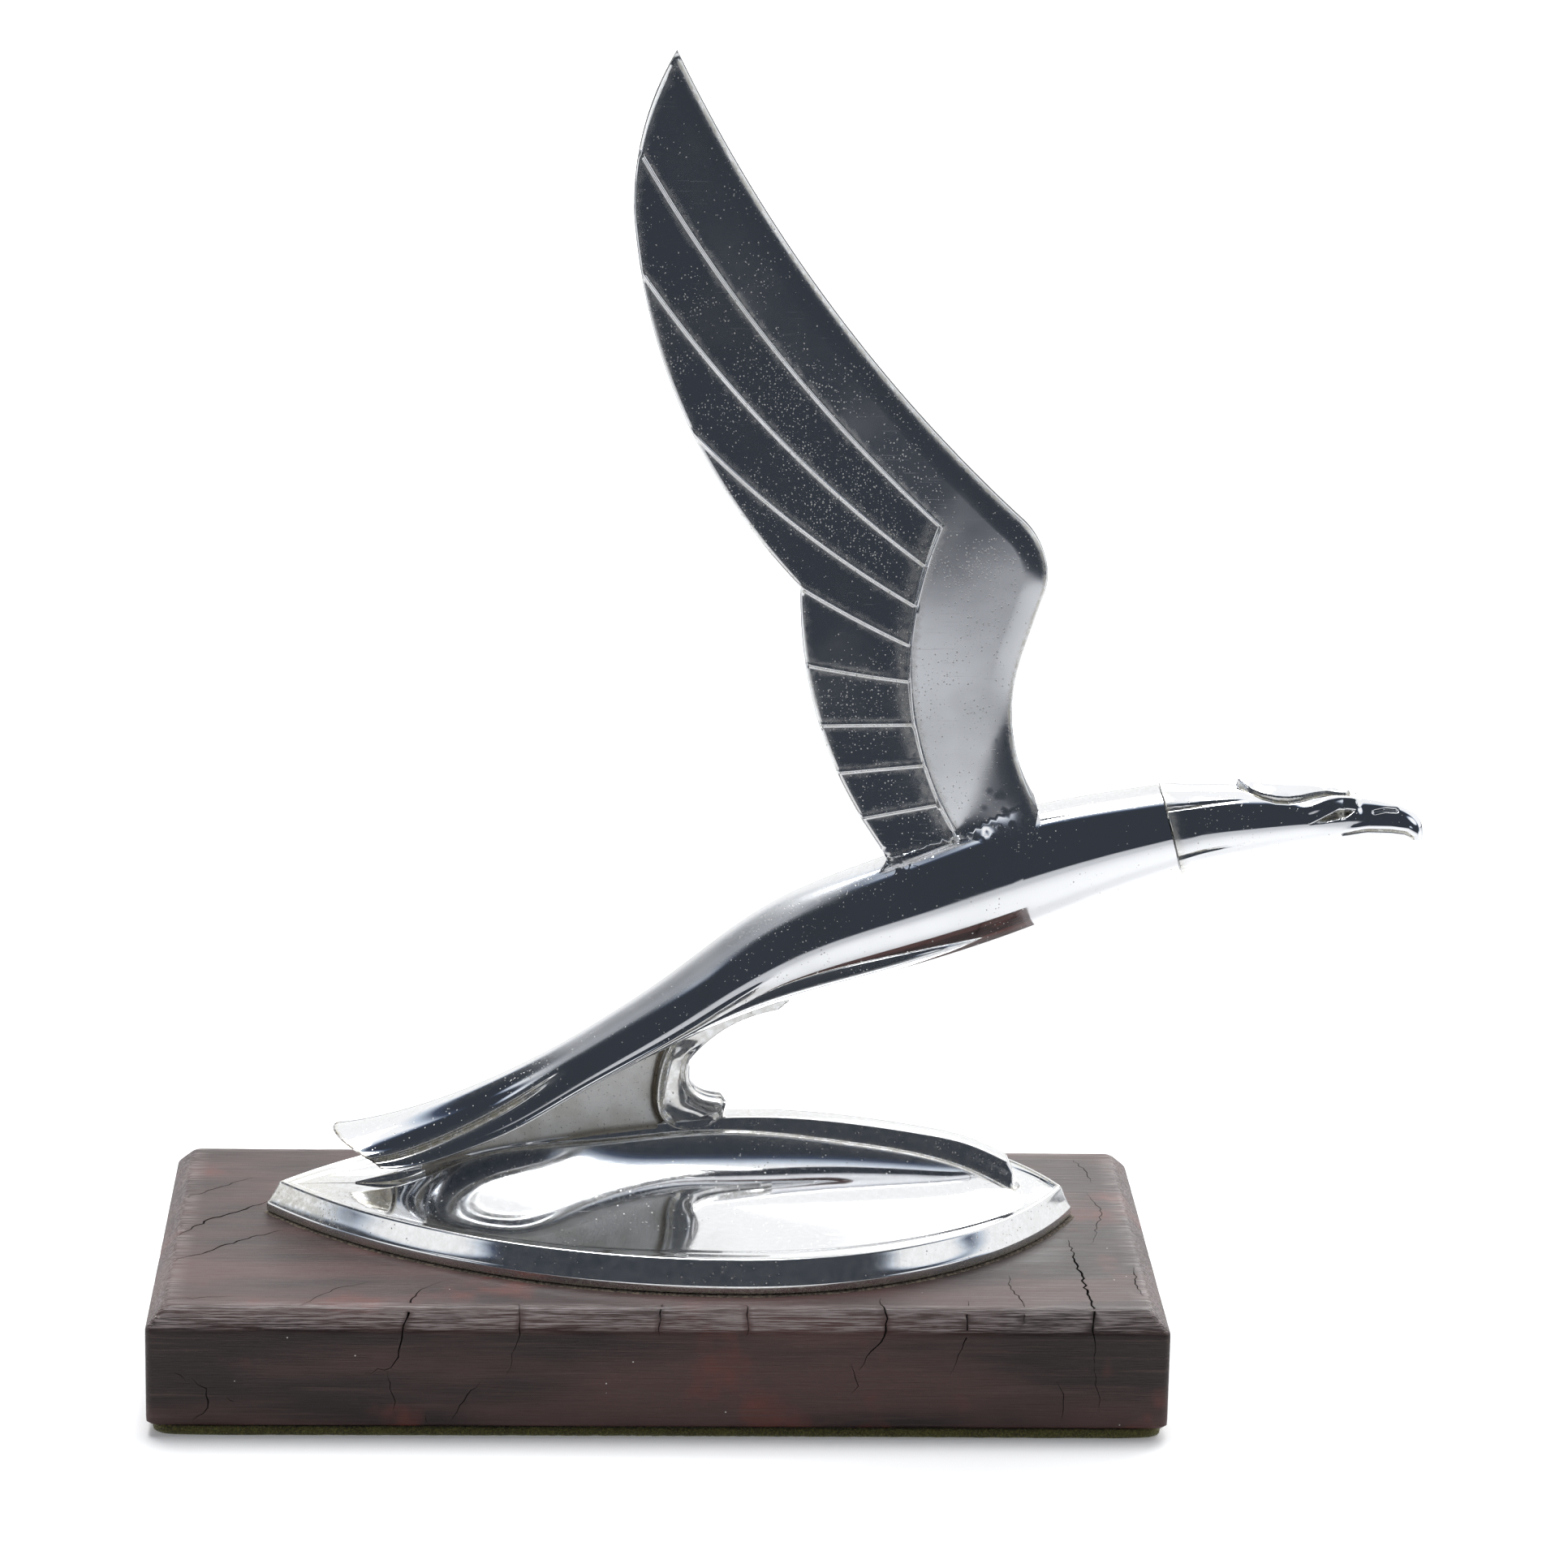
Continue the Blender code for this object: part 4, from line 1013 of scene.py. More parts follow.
def make_web(material):
    """The thin cast web between the tail and the rib."""
    along = np.linspace(-45.0, -1.0, 24)
    foot = np.column_stack([along, np.interp(along, RIB[:, 0], RIB[:, 1]) - 0.4])
    top = [(-1.0, 33.5), (-6.0, 32.5), (-17.0, 26.5), (-28.0, 20.0), (-38.0, 16.0), (-44.0, 13.5)]
    _, leg_back = leg_contours()

    def seam(flat):
        """The narrow slot where the leg stands out of the web."""
        return bump(np.abs(distance_to(leg_back, flat)) - 0.35, 0.5)

    def surface(flat):
        low = np.abs(distance_to(foot, flat))
        return 2.1 - 1.5 * seam(flat) + 0.9 * np.clip(1.0 - low / 1.3, 0.0, 1.0) ** 2

    def tarnish_and_shade(flat):
        # Painted shade: darker along the web's foot, where it meets the rib, and in the slot by the leg
        low = np.abs(distance_to(foot, flat))
        return np.maximum(0.8 * bump(low - 0.3, 0.7), seam(flat))

    guides = [offset(foot, shift) for shift in (0.4, 0.8, 1.3)]
    guides += [offset(leg_back, shift) for shift in (-1.2, -0.8, -0.5, -0.2)]
    two_sided_plate(np.vstack([foot, top]), guides, 0.8, surface, "tail_web", material, {"tarnish_and_shade": tarnish_and_shade})


def leg_contours():
    """The leg's front and back lines, from the belly down to the sole."""
    front = chain((19.0, 39.8), ((3.3, 30.3), -1.8, 20), ((8.9, 22.8), -2.9, 24))
    back = chain((2.0, 38.0), ((-2.9, 23.6), -1.2, 14), ((3.2, 16.9), -2.2, 14))
    return np.vstack([(26.0, 46.0), front]), np.vstack([(12.0, 45.0), back])


def make_leg(material):
    """The leg's curl: raised rims round a hollow face, with the toe forward on the rib."""
    front, back = leg_contours()
    sole = np.array([(9.9, 21.6), (9.4, 19.6), (6.6, 17.6)])
    outline = np.vstack([front, sole, back[::-1]])

    def surface(flat):
        to_front = np.abs(distance_to(front, flat))
        to_back = np.abs(distance_to(back, flat))
        to_sole = np.abs(distance_to(np.vstack([front[-1:], sole, back[-1:]]), flat))
        edge = np.minimum(np.minimum(to_front, to_back), to_sole)
        across = to_back / (to_back + to_front)
        hollow = 1.7 * np.sin(math.pi * across) * smooth_step(0.35, 1.3, edge)
        return 0.5 + 2.6 * rolled(edge, 0.45) - hollow * smooth_step(35.0, 30.0, flat[:, 1])

    def tarnish_and_shade(flat):
        # Even tarnish, with tarnish and painted shade along the back rim, beside the slot
        to_back = np.abs(distance_to(back, flat))
        return 0.3 + 0.4 * bump(to_back - 1.0, 0.6)

    def pits(flat):
        return np.full(len(flat), 0.15)

    shifts = (0.12, 0.3, 0.5, 0.8, 1.2, 1.7)
    guides = [offset(front[1:], -shift) for shift in shifts] + [offset(back[1:], shift) for shift in shifts]
    two_sided_plate(outline, guides, 0.45, surface, "leg_curl", material, {"tarnish_and_shade": tarnish_and_shade, "pits": pits})


# ---- head ----


def head_rows(count):
    """Stations spread by length along the head, closer together toward the beak."""
    length = np.concatenate([[0.0], np.cumsum(np.hypot(*np.diff(HEAD[:, :2], axis=0).T))])
    share = np.linspace(0.0, 1.0, count)
    at = length[-1] * (share + 0.22 * np.sin(math.pi * share) * share)
    return natural_curve(length, HEAD, np.clip(at, 0.0, length[-1]))


def crest_leaf(points):
    """The raised leaf on the crown, lifted at its rear point, and a painted shadow line along its edge."""
    x = points[..., 0]
    stops = (99.9, 101.9, 104.3, 106.6, 108.9, 111.3, 113.6, 115.9, 118.0, 119.6, 120.4)
    widths = (0.0, 2.2, 3.5, 4.0, 4.0, 3.5, 2.6, 1.8, 1.9, 1.5, 0.0)
    reach = np.interp(x, stops, widths, left=-1.0, right=-1.0)
    room = reach - np.abs(points[..., 1])
    raised = 0.55 * smooth_step(0.0, 0.3, room) + 0.65 * smooth_step(0.0, 3.2, room)
    raised += 0.7 * bump(x - 100.6, 1.3) * smooth_step(0.0, 0.5, room)
    shadow = 0.22 * bump(room + 0.25, 0.25)
    top = smooth_step(0.5, 2.0, points[..., 2] - 76.5)
    return (raised - shadow) * top, bump(room + 0.15, 0.3) * top


def eye_relief(side_view):
    """Brow hood, leaf-shaped socket and eyeball, by place in the side view, and how far into the socket a
    point is, for tarnish and painted shade there.
    """
    x = side_view[:, 0]
    upper = [(112.4, 76.3), (115.5, 77.9), (118.3, 79.1), (121.3, 78.5)]
    socket = np.array([*upper, (119.4, 77.2), (115.8, 76.6), upper[0]])
    depth = np.where(inside(socket[:-1], side_view), np.abs(distance_to(socket, side_view)), 0.0)
    hollow = -1.5 * smooth_step(0.0, 0.7, depth)
    from_pupil = np.hypot(x - 118.6, side_view[:, 1] - 78.0)
    ball = 1.1 * np.clip(1.0 - from_pupil**2, 0.0, 1.0)
    brow = np.array([(108.0, 78.6), (112.5, 79.0), (116.0, 79.9), (118.9, 80.3), (121.4, 79.6)])
    along = smooth_step(108.5, 115.0, x) * smooth_step(122.3, 120.8, x)
    hood = 0.85 * along * bump(distance_to(brow, side_view), 0.85)
    return hollow + ball * (depth > 0.0) + hood, smooth_step(0.1, 0.6, depth)


def beak_relief(side_view):
    """Nostril slit, mouth groove with its cutting edge above it, and the cere's step, and a band along the
    mouth groove for tarnish and painted shade in it.
    """
    x = side_view[:, 0]
    nostril = np.array([(124.6, 77.9), (126.6, 78.2), (128.6, 78.0)])
    slit = -0.55 * (1.0 - smooth_step(0.12, 0.5, np.abs(distance_to(nostril, side_view))))
    mouth = [(119.0, 73.9), (121.0, 74.35), (123.5, 74.55), (127.7, 74.35)]
    mouth = np.array([*mouth, (130.4, 73.9), (131.7, 72.9), (132.0, 71.8)])
    away = distance_to(mouth, side_view)
    groove = -0.6 * (1.0 - smooth_step(0.08, 0.42, np.abs(away)))
    band = 0.22 * bump(away - 0.95, 0.5) * smooth_step(118.0, 121.0, x)
    cere = 0.10 * smooth_step(122.6, 121.4, x) * smooth_step(119.0, 120.5, x)
    return slit + groove + band + cere, 1.0 - smooth_step(0.1, 0.5, np.abs(away))


def flute_relief(angles, along):
    """Four grooves that start at the seam and fade forward, with rounded lobes between them."""
    near = from_top(angles)
    fade = smooth_step(15.0, 0.0, along)
    found = np.zeros_like(near + along)
    for start, turn in ((49.0, -0.75), (115.0, -0.2)):
        away = (near - start - turn * along) * math.radians(7.6)
        found = found - 0.62 * fade * (1.0 - smooth_step(0.0, 0.55, np.abs(away)))
    return found + 0.28 * smooth_step(5.0, 0.0, along)


def make_head(material):
    rows = head_rows(300)
    columns = section_columns((0.0, 40.0, 130.0, 180.0), (32, 72, 26))
    angles = np.repeat(columns[None, :], len(rows), axis=0)
    plain = section_grid(rows, angles)
    along = (rows[:, 0] - NECK[0])[:, None]
    side_view = plain[..., [0, 2]].reshape(-1, 2)
    facing = smooth_step(0.25, 0.6, np.abs(np.sin(np.radians(angles))))
    eye, eye_socket_tarnish_and_shade = (part.reshape(angles.shape) for part in eye_relief(side_view))
    beak, mouth_groove_tarnish_and_shade = (part.reshape(angles.shape) for part in beak_relief(side_view))
    leaf, leaf_edge_shadow = crest_leaf(plain)
    flutes = flute_relief(angles, along)
    lift = (eye + beak) * facing + leaf + flutes
    points = section_grid(rows, angles, lift)
    points[0] = section_grid(rows[:1], angles[:1], lift[:1])[0] + NECK_AXIS * (GAP / 2)

    bore = bore_ring(columns, BORE_RADIUS)
    ring = points[0] - NECK
    length = np.linalg.norm(ring, axis=1)[:, None]
    start = [
        NECK + NECK_AXIS * (BORE_DEPTH + 1.5) + bore * 0.2,
        NECK + NECK_AXIS * BORE_DEPTH + bore,
        NECK + NECK_AXIS * (GAP / 2) + bore,
        NECK + ring * (1.0 - 0.9 / length),
        NECK + ring * (1.0 - 0.3 / length) - NECK_AXIS * 0.04,
    ]
    tip = points[-1].mean(axis=0)
    beak_ring = points[-1] - tip
    end = [tip + beak_ring * 0.55 + (0.18, 0.0, -0.25), tip + beak_ring * 0.1 + (0.25, 0.0, -0.32)]
    count = len(columns)
    # Tarnish and painted shade: a painted shadow line round the crest leaf and darkening in the eye socket,
    # the mouth groove and the flutes; the seam is a dark joint
    recesses = [0.8 * eye_socket_tarnish_and_shade * facing, 0.7 * mouth_groove_tarnish_and_shade * facing, 0.9 * leaf_edge_shadow]
    seam = np.broadcast_to(0.5 * bump(along, 1.2), angles.shape)
    head_tarnish_and_shade = np.maximum.reduce([*recesses, seam, 0.8 * smooth_step(-0.15, -0.5, flutes)])
    tarnish_and_shade = np.concatenate([np.full((len(start), count), 0.4), head_tarnish_and_shade, np.full((len(end), count), 0.3)])
    pits = np.full(tarnish_and_shade.shape, 0.34)
    pits[len(start) : -len(end)] = 0.22 - 0.14 * smooth_step(118.0, 124.0, rows[:, 0])[:, None]
    points, faces = closed_tube([*start, *points, *end])
    marks = {"tarnish_and_shade": tarnish_and_shade.ravel(), "pits": pits.ravel()}
    points = placed(points)
    obj = make_piece("eagle_head", points, faces, material, "head", marks=marks, sharp=60.0)
    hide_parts("head")


# ---- oval base ----


def arc_radius(reach):
    """Radius of the arc from the oval's widest place to a tip this far along."""
    return (reach**2 + OVAL_HALF_WIDTH**2) / (2.0 * OVAL_HALF_WIDTH)


def oval_line(inset):
    """The outline's far side from the left tip to the right one, brought in by an inset."""
    lines = []
    for sign, share in ((-1, 0.58), (1, 0.42)):
        radius = arc_radius(OVAL_TIP - sign * OVAL_PEAK_X)
        drop = radius - OVAL_HALF_WIDTH
        sweep = math.acos(min(1.0, drop / (radius - inset)))
        eased = np.linspace(0.0, 1.0, int(OVAL_STEPS * share) + 1)
        turn = sweep * (1.0 - eased) if sign < 0 else sweep * eased
        x = OVAL_PEAK_X + sign * (radius - inset) * np.sin(turn)
        y = (radius - inset) * np.cos(turn) - drop
        line = np.stack([x, np.clip(y, 0.0, None)], axis=1)
        lines.append(line if sign < 0 else line[1:])
    return np.vstack(lines)


def half_width(x, inset=0.0):
    """The outline's half width at x, brought in by an inset."""
    radius = arc_radius(OVAL_TIP + np.where(x < OVAL_PEAK_X, OVAL_PEAK_X, -OVAL_PEAK_X))
    within = np.clip((radius - inset) ** 2 - (x - OVAL_PEAK_X) ** 2, 0.0, None)
    return np.clip(np.sqrt(within) - radius + OVAL_HALF_WIDTH, 0.0, None)


def rib_heights(x):
    """Crest height and foot height of the rib: a curve, and a straight drop at its right end."""
    turn, end = RIB[-2:]
    made = natural_curve(RIB[:-1, 0], RIB[:-1, 1:], np.clip(x, RIB[0, 0], turn[0]))
    share = np.clip((x - turn[0]) / (end[0] - turn[0]), 0.0, 1.0)[:, None]
    made = made + (end[1:] - turn[1:]) * share
    return made[:, 0], made[:, 1]


def dish_height(x, y):
    """Height of the dished face that sweeps up from the deck's edge to the rib's foot."""
    edge = half_width(x, CHAMFER_IN)
    _, foot = rib_heights(x)
    depth = np.sin(math.pi / 2 * np.clip(edge / 15.0, 0.0, 1.0))
    room = edge - RIB_FOOT_HALF
    share = np.clip((edge - np.abs(y)) / np.maximum(room, 3.0), 0.0, 1.0)
    # The left part curves up evenly and the right part only near the rib
    right = smooth_step(-28.0, 6.0, x)
    deepest = DISH_DIPS[0] + (DISH_DIPS[1] - DISH_DIPS[0]) * right
    dip = deepest * smooth_step(3.0, 15.0, room) * np.sin(math.pi * share) ** 0.9
    even = 0.34 * right
    sweep = even * share + (1.0 - even) * share ** (1.9 + 3.1 * right)
    return DECK_HEIGHT + (foot - DECK_HEIGHT) * depth * sweep - dip


def base_wall():
    """Loops up the side wall and over the chamfer to the deck's edge, with their tarnish and painted shade:
    the wall's foot, where the base meets the wood, is darkened as painted shade.
    """
    wall = [(3.6, 0.35), (0.4, 0.32), (0.08, 0.42), (0.0, 0.7), (0.0, 1.75), (0.05, 2.0), (0.2, 2.18)]
    chamfer = [(0.42, 2.45), (1.0, 3.75), (1.56, 5.15), (1.72, 5.6), (1.86, 5.9)]
    bead = [(2.05, 6.05), (2.3, 6.06), (2.5, 5.96), (DECK_INSET, DECK_EDGE_HEIGHT)]
    for inset, height in wall + chamfer + bead:
        # Painted shade at the wall's foot, where the base meets the wood; higher up, tarnish by the bead
        tarnish_and_shade = 0.75 if height < 0.9 else 0.12 + 0.5 * bump(inset - 2.6, 0.25)
        line = oval_line(inset)
        yield np.column_stack([line, np.full(len(line), height)]), tarnish_and_shade


def base_dish(rim, foot_line):
    """Loops over the dished face, from the deck's edge to the rib's foot, with their tarnish."""
    for share in np.concatenate([np.linspace(0.0, 0.28, 24)[1:], np.linspace(0.28, 1.0, 44)[1:]]):
        flat = rim + (foot_line - rim) * share
        inset = half_width(flat[:, 0]) - np.abs(flat[:, 1])
        step = 0.42 * smooth_step(5.2, 6.6, inset) * (1.0 - share) ** 2
        height = dish_height(*flat.T) - DISH_DROP - step
        height = DECK_EDGE_HEIGHT + (height - DECK_EDGE_HEIGHT) * smooth_step(0.0, 0.06, share)
        yield np.column_stack([flat, height]), 0.06 + 0.35 * bump(share - 1.0, 0.03)


def base_rib(x, crest, foot, ends):
    """Loops up the rib's side to its crest, with their tarnish."""
    rise = np.clip(crest - foot, 0.0, None)
    side = [(3.7, 0.03), (3.3, 0.10), (3.0, 0.24), (2.82, 0.45), (2.68, 0.66), (2.55, 0.82)]
    top = [(2.36, 0.93), (2.05, 0.985), (1.5, 1.0), (0.7, 1.01), (0.0, 1.015)]
    for width, share in side + top:
        yield np.column_stack([x, width * ends, foot + rise * share]), 0.5 if share < 0.2 else 0.16


def make_base(material):
    rim = oval_line(DECK_INSET)
    along = (rim[:, 0] - rim[0, 0]) / (rim[-1, 0] - rim[0, 0])
    rib_x = RIB[0, 0] + (RIB[-1, 0] - RIB[0, 0]) * along
    crest, _ = rib_heights(rib_x)
    ends = smooth_step(-0.02, 0.16, along) * smooth_step(1.0, 0.985, along)
    foot_line = np.column_stack([rib_x, RIB_FOOT_HALF * ends])
    made = [*base_wall(), *base_dish(rim, foot_line)]
    made += base_rib(rib_x, crest, made[-1][0][:, 2], ends)
    far = np.array([loop for loop, _ in made])
    rows, columns = far.shape[:2]
    count = rows * columns
    faces = grid_faces(rows, columns, wrap=False)
    far_faces = [tuple(count + i for i in reversed(face)) for face in faces]
    under = [(i + 1, i, count + i, count + i + 1) for i in range(columns - 1)]
    points = np.concatenate([(far * (1.0, -1.0, 1.0)).reshape(-1, 3), far.reshape(-1, 3)])
    x, y, z = points.T
    tarnish_and_shade = np.tile(np.repeat([tarnish_and_shade for _, tarnish_and_shade in made], columns), 2)
    tarnish_and_shade = np.maximum(tarnish_and_shade, 0.45 * smooth_step(-50.0, -68.0, x) * (z > 2.0))
    pits = 0.10 + 0.35 * smooth_step(46.0, 66.0, x) + 0.5 * smooth_step(-46.0, -64.0, x)
    pits = np.maximum(pits, 0.3 * (np.abs(y) < 3.0))
    marks = {"tarnish_and_shade": tarnish_and_shade, "pits": pits}
    faces = faces + far_faces + under
    obj = make_piece("oval_base", placed(points), faces, material, marks=marks, sharp=55.0)
    tidy_mesh(obj.data, weld=WELD)
    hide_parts("base_plate")


def smoothed_round(values, width):
    """Values round a ring, each averaged with its neighbours."""
    count = len(values)
    return np.convolve(np.tile(values, 3), np.ones(width) / width, "same")[count : 2 * count]


def make_foot_grime(material):
    """A thin, uneven bead of dried polish round the foot of the base, where there is wood under it."""
    rng = np.random.default_rng(7)
    far = oval_line(0.0)
    outline = np.vstack([far * (1, -1), far[::-1][1:-1]])
    count = len(outline)
    wave = smoothed_round(rng.random(count), 7)
    past_wood = np.flatnonzero(outline[:, 1] > PLINTH_HIGH[1] - BEVEL_OUT - MASCOT[1])
    on_wood = np.roll(np.arange(count), -1 - past_wood[-1])[: count - len(past_wood)]
    outer = outline[on_wood]
    wave = wave[on_wood]
    away = outer - np.array((OVAL_PEAK_X * 0.3, 0.0))
    away /= np.linalg.norm(away, axis=1)[:, None]
    count = len(outer)
    loops = []
    for reach, height in ((-0.8, 0.22), (0.0, 0.22), (0.15, 0.15), (0.32, 0.07), (0.6, 0.012)):
        spread = reach * (0.35 + 1.3 * wave) if reach > 0 else reach * np.ones(count)
        loops.append(np.column_stack([outer + away * spread[:, None], np.full(count, height)]))
    points = np.array(loops).reshape(-1, 3)
    faces = [tuple(reversed(face)) for face in grid_faces(len(loops), count, wrap=False)]
    make_piece("foot_grime", placed(points), faces, material, sharp=60.0)


# ---- plinth ----

# Cracks in the wood, each as a width, a depth and a route. Points are (x, y) on the top, (x, height) on
# the front and the back, (y, height) on the ends, and (x, share of the way up) on the bevel.
CRACKS = [
    (0.42, 1.6, {"top": [(-85.5, -6), (-80, 3), (-76, 6), (-70, 12.5)]}),
    (0.36, 1.4, {"top": [(-85.5, -19), (-80, -14.5), (-75, -9), (-67, -3)]}),
    (0.2, 0.8, {"top": [(-85.3, 14), (-80, 19), (-74, 24.5)]}),
    (0.18, 0.7, {"top": [(-85.5, -38), (-80, -37.2), (-74, -36.6)]}),
    (0.14, 0.6, {"top": [(-62, -40.5), (-57, -33), (-51, -29)]}),
    (0.26, 1.0, {
        "top": [(-38, -28.5), (-41.5, -32.5), (-43, -37)],
        "bevel": [(-43.8, 0.5)],
        "front": [(-44.5, 19.4), (-45.2, 15), (-46.5, 13), (-51, 12)],
    }),
    (0.14, 0.6, {"front": [(-47, 12.4), (-46.2, 8), (-45.6, 4)]}),
    (0.12, 0.5, {"top": [(-24.5, -39.5)], "bevel": [(-24.2, 0.5)], "front": [(-24.6, 18), (-26.5, 12)]}),
    (0.18, 0.7, {"front": [(-31, 10.5), (-34.6, 6), (-36.2, 2.4)]}),
    (0.14, 0.5, {"front": [(-40.5, 4.5), (-40, 2.3)]}),
    (0.13, 0.5, {"top": [(0.5, -39)], "bevel": [(0.2, 0.5)], "front": [(0, 19)]}),
    (0.13, 0.5, {"top": [(15, -39.5)], "bevel": [(15.3, 0.5)], "front": [(15, 19)]}),
    (0.28, 1.1, {
        "top": [(38.6, -36), (39, -40)],
        "bevel": [(39.6, 0.6)],
        "front": [(39, 19.2), (36.8, 16.5), (34.8, 13)],
    }),
    (0.14, 0.6, {"front": [(33.3, 14), (34.7, 10), (33.6, 8.6)]}),
    (0.16, 0.6, {"top": [(54, -37)], "bevel": [(53.5, 0.5)], "front": [(52.6, 17), (50.6, 12)]}),
    (0.18, 0.7, {"top": [(62, -24), (61.8, -31), (63.5, -38)], "bevel": [(63.4, 0.4)]}),
    (0.4, 1.6, {
        "top": [(74, -6), (74.3, -16), (75, -28), (75.4, -39)],
        "bevel": [(75.5, 0.5)],
        "front": [(75.6, 19), (75.8, 14.4)],
    }),
    (0.13, 0.5, {"front": [(75.8, 14.4), (76.6, 9), (76.9, 5)]}),
    (0.14, 0.5, {"front": [(69.2, 11), (70.6, 8.5), (70.2, 3.5)]}),
    (0.16, 0.6, {"top": [(79.6, 19), (81.4, 8), (79.8, 0), (78, -8)]}),
    (0.16, 0.6, {"top": [(78.5, 37), (80.5, 30), (80.8, 24)]}),
    (0.2, 0.8, {"top": [(84.6, -20), (84.2, -27), (84.9, -34)]}),
    (0.22, 0.8, {"front": [(-81, 11), (-78.4, 9), (-78.2, 5.5), (-81, 3)]}),
    (0.12, 0.5, {"front": [(-84, 12), (-82, 10.5)]}),
    (0.12, 0.5, {"front": [(-75, 7.5), (-73.5, 6.6)]}),
    (0.24, 0.9, {"back": [(-61, 19.4), (-59.5, 15), (-62, 9), (-61, 5)]}),
    (0.2, 0.8, {"back": [(18, 16), (20, 11), (19, 3)]}),
    (0.3, 1.1, {"back": [(58, 19.5), (60, 13), (58.6, 7)]}),
    (0.26, 1.0, {"left": [(10, 19.3), (12, 14), (11, 8)]}),
    (0.2, 0.8, {"left": [(-18, 19.3), (-20, 12), (-19, 6)]}),
    (0.24, 0.9, {"right": [(-12, 19.3), (-10, 12), (-13, 5)]}),
    (0.18, 0.7, {"right": [(22, 15), (24, 8), (23, 3)]}),
]


def on_face(face, first, second):
    """A point on one of the plinth's faces and the way that face looks."""
    low, high = PLINTH_LOW, PLINTH_HIGH
    on_bevel = (first, low[1] + BEVEL_OUT * second, high[2] - BEVEL_DOWN * (1.0 - second))
    place, look = {
        "top": ((first, second, high[2]), (0.0, 0.0, 1.0)),
        "bevel": (on_bevel, (0.0, -0.73, 0.68)),
        "front": ((first, low[1], second), (0.0, -1.0, 0.0)),
        "back": ((first, high[1], second), (0.0, 1.0, 0.0)),
        "left": ((low[0], first, second), (-1.0, 0.0, 0.0)),
        "right": ((high[0], first, second), (1.0, 0.0, 0.0)),
    }[face]
    return np.array(place), np.array(look)


def jagged(route, rng):
    """Stops along a crack's route, jogged sideways, and the way the face looks at each."""
    marks = [on_face(face, *point) for face, points in route.items() for point in points]
    stops = []
    looks = []
    for (first, look_a), (second, look_b) in zip(marks[:-1], marks[1:]):
        across = np.cross(second - first, look_a)
        across /= max(np.linalg.norm(across), 1e-9)
        pieces = max(2, int(np.linalg.norm(second - first) / 1.1))
        for i in range(pieces):
            share = i / pieces
            jog = (rng.random() - 0.5) * 0.75 if i else 0.0
            stops.append(first + (second - first) * share + across * jog)
            looks.append(look_a if share < 0.5 else look_b)
    return np.array([*stops, marks[-1][0]]), np.array([*looks, marks[-1][1]])


def crack_wedge(name, width, depth, route, rng):
    """A thin wedge along a jagged route, for cutting a crack."""
    stops, looks = jagged(route, rng)
    rings = []
    for i, (stop, look, step) in enumerate(zip(stops, looks, np.gradient(stops, axis=0))):
        look = look / np.linalg.norm(look)
        across = np.cross(step, look)
        across /= np.linalg.norm(across)
        share = min(i, len(stops) - 1 - i) / (len(stops) / 2)
        slim = 0.18 + 0.82 * min(1.0, 1.7 * share) * (0.7 + 0.5 * rng.random())
        side = across * (width * slim / 2)
        out = look * 0.7
        flare = side * 1.7
        bottom = stop - look * (depth * slim)
        rings.append([stop + out, stop + flare + out, stop + side, bottom, stop - side, stop - flare + out])
    points, faces = closed_tube(rings)
    mesh = bpy.data.meshes.new(name)
    mesh.from_pydata((points * MM).tolist(), [], faces)
    return mesh


def plinth_ring(half_x, half_y):
    """Points round a rectangle with rounded corners, counted by the plinth's full size."""
    corners = [
        np.array((x_side * (half_x - PLINTH_CORNER), y_side * (half_y - PLINTH_CORNER)))
        for x_side, y_side in ((1, -1), (1, 1), (-1, 1), (-1, -1))
    ]
    size = PLINTH_HIGH - PLINTH_LOW
    points = []
    for number, centre in enumerate(corners):
        for step in range(7):
            angle = math.radians(90.0 * number - 90.0 + 15.0 * step)
            rim = PLINTH_CORNER * np.array((math.cos(angle), math.sin(angle)))
            points.append(centre + rim)
        following = corners[(number + 1) % 4]
        for share in np.linspace(0.0, 1.0, int(size[1 - number % 2] / PLINTH_STEP))[1:-1]:
            points.append(centre + rim + (following - centre) * share)
    return np.array(points)


def plinth_levels(bottom, wall_top, top):
    """Height and inset of each ring, from the bottom edge up the wall and the bevel to the top."""
    levels = [(bottom, 1.4), (bottom + 0.15, 0.6), (bottom + 0.7, 0.05), (bottom + 1.5, 0.0)]
    levels += [(height, 0.0) for height in np.linspace(bottom + 3.0, wall_top - 1.0, 7)]
    levels += [(wall_top - 0.35, 0.02), (wall_top, 0.14), (wall_top + 0.4, 0.42)]
    levels += [(wall_top + share * BEVEL_DOWN, share * BEVEL_OUT) for share in (0.3, 0.5, 0.7, 0.86)]
    return levels + [(top - 0.14, BEVEL_OUT - 0.02), (top - 0.02, BEVEL_OUT + 0.35), (top, BEVEL_OUT + 0.9)]


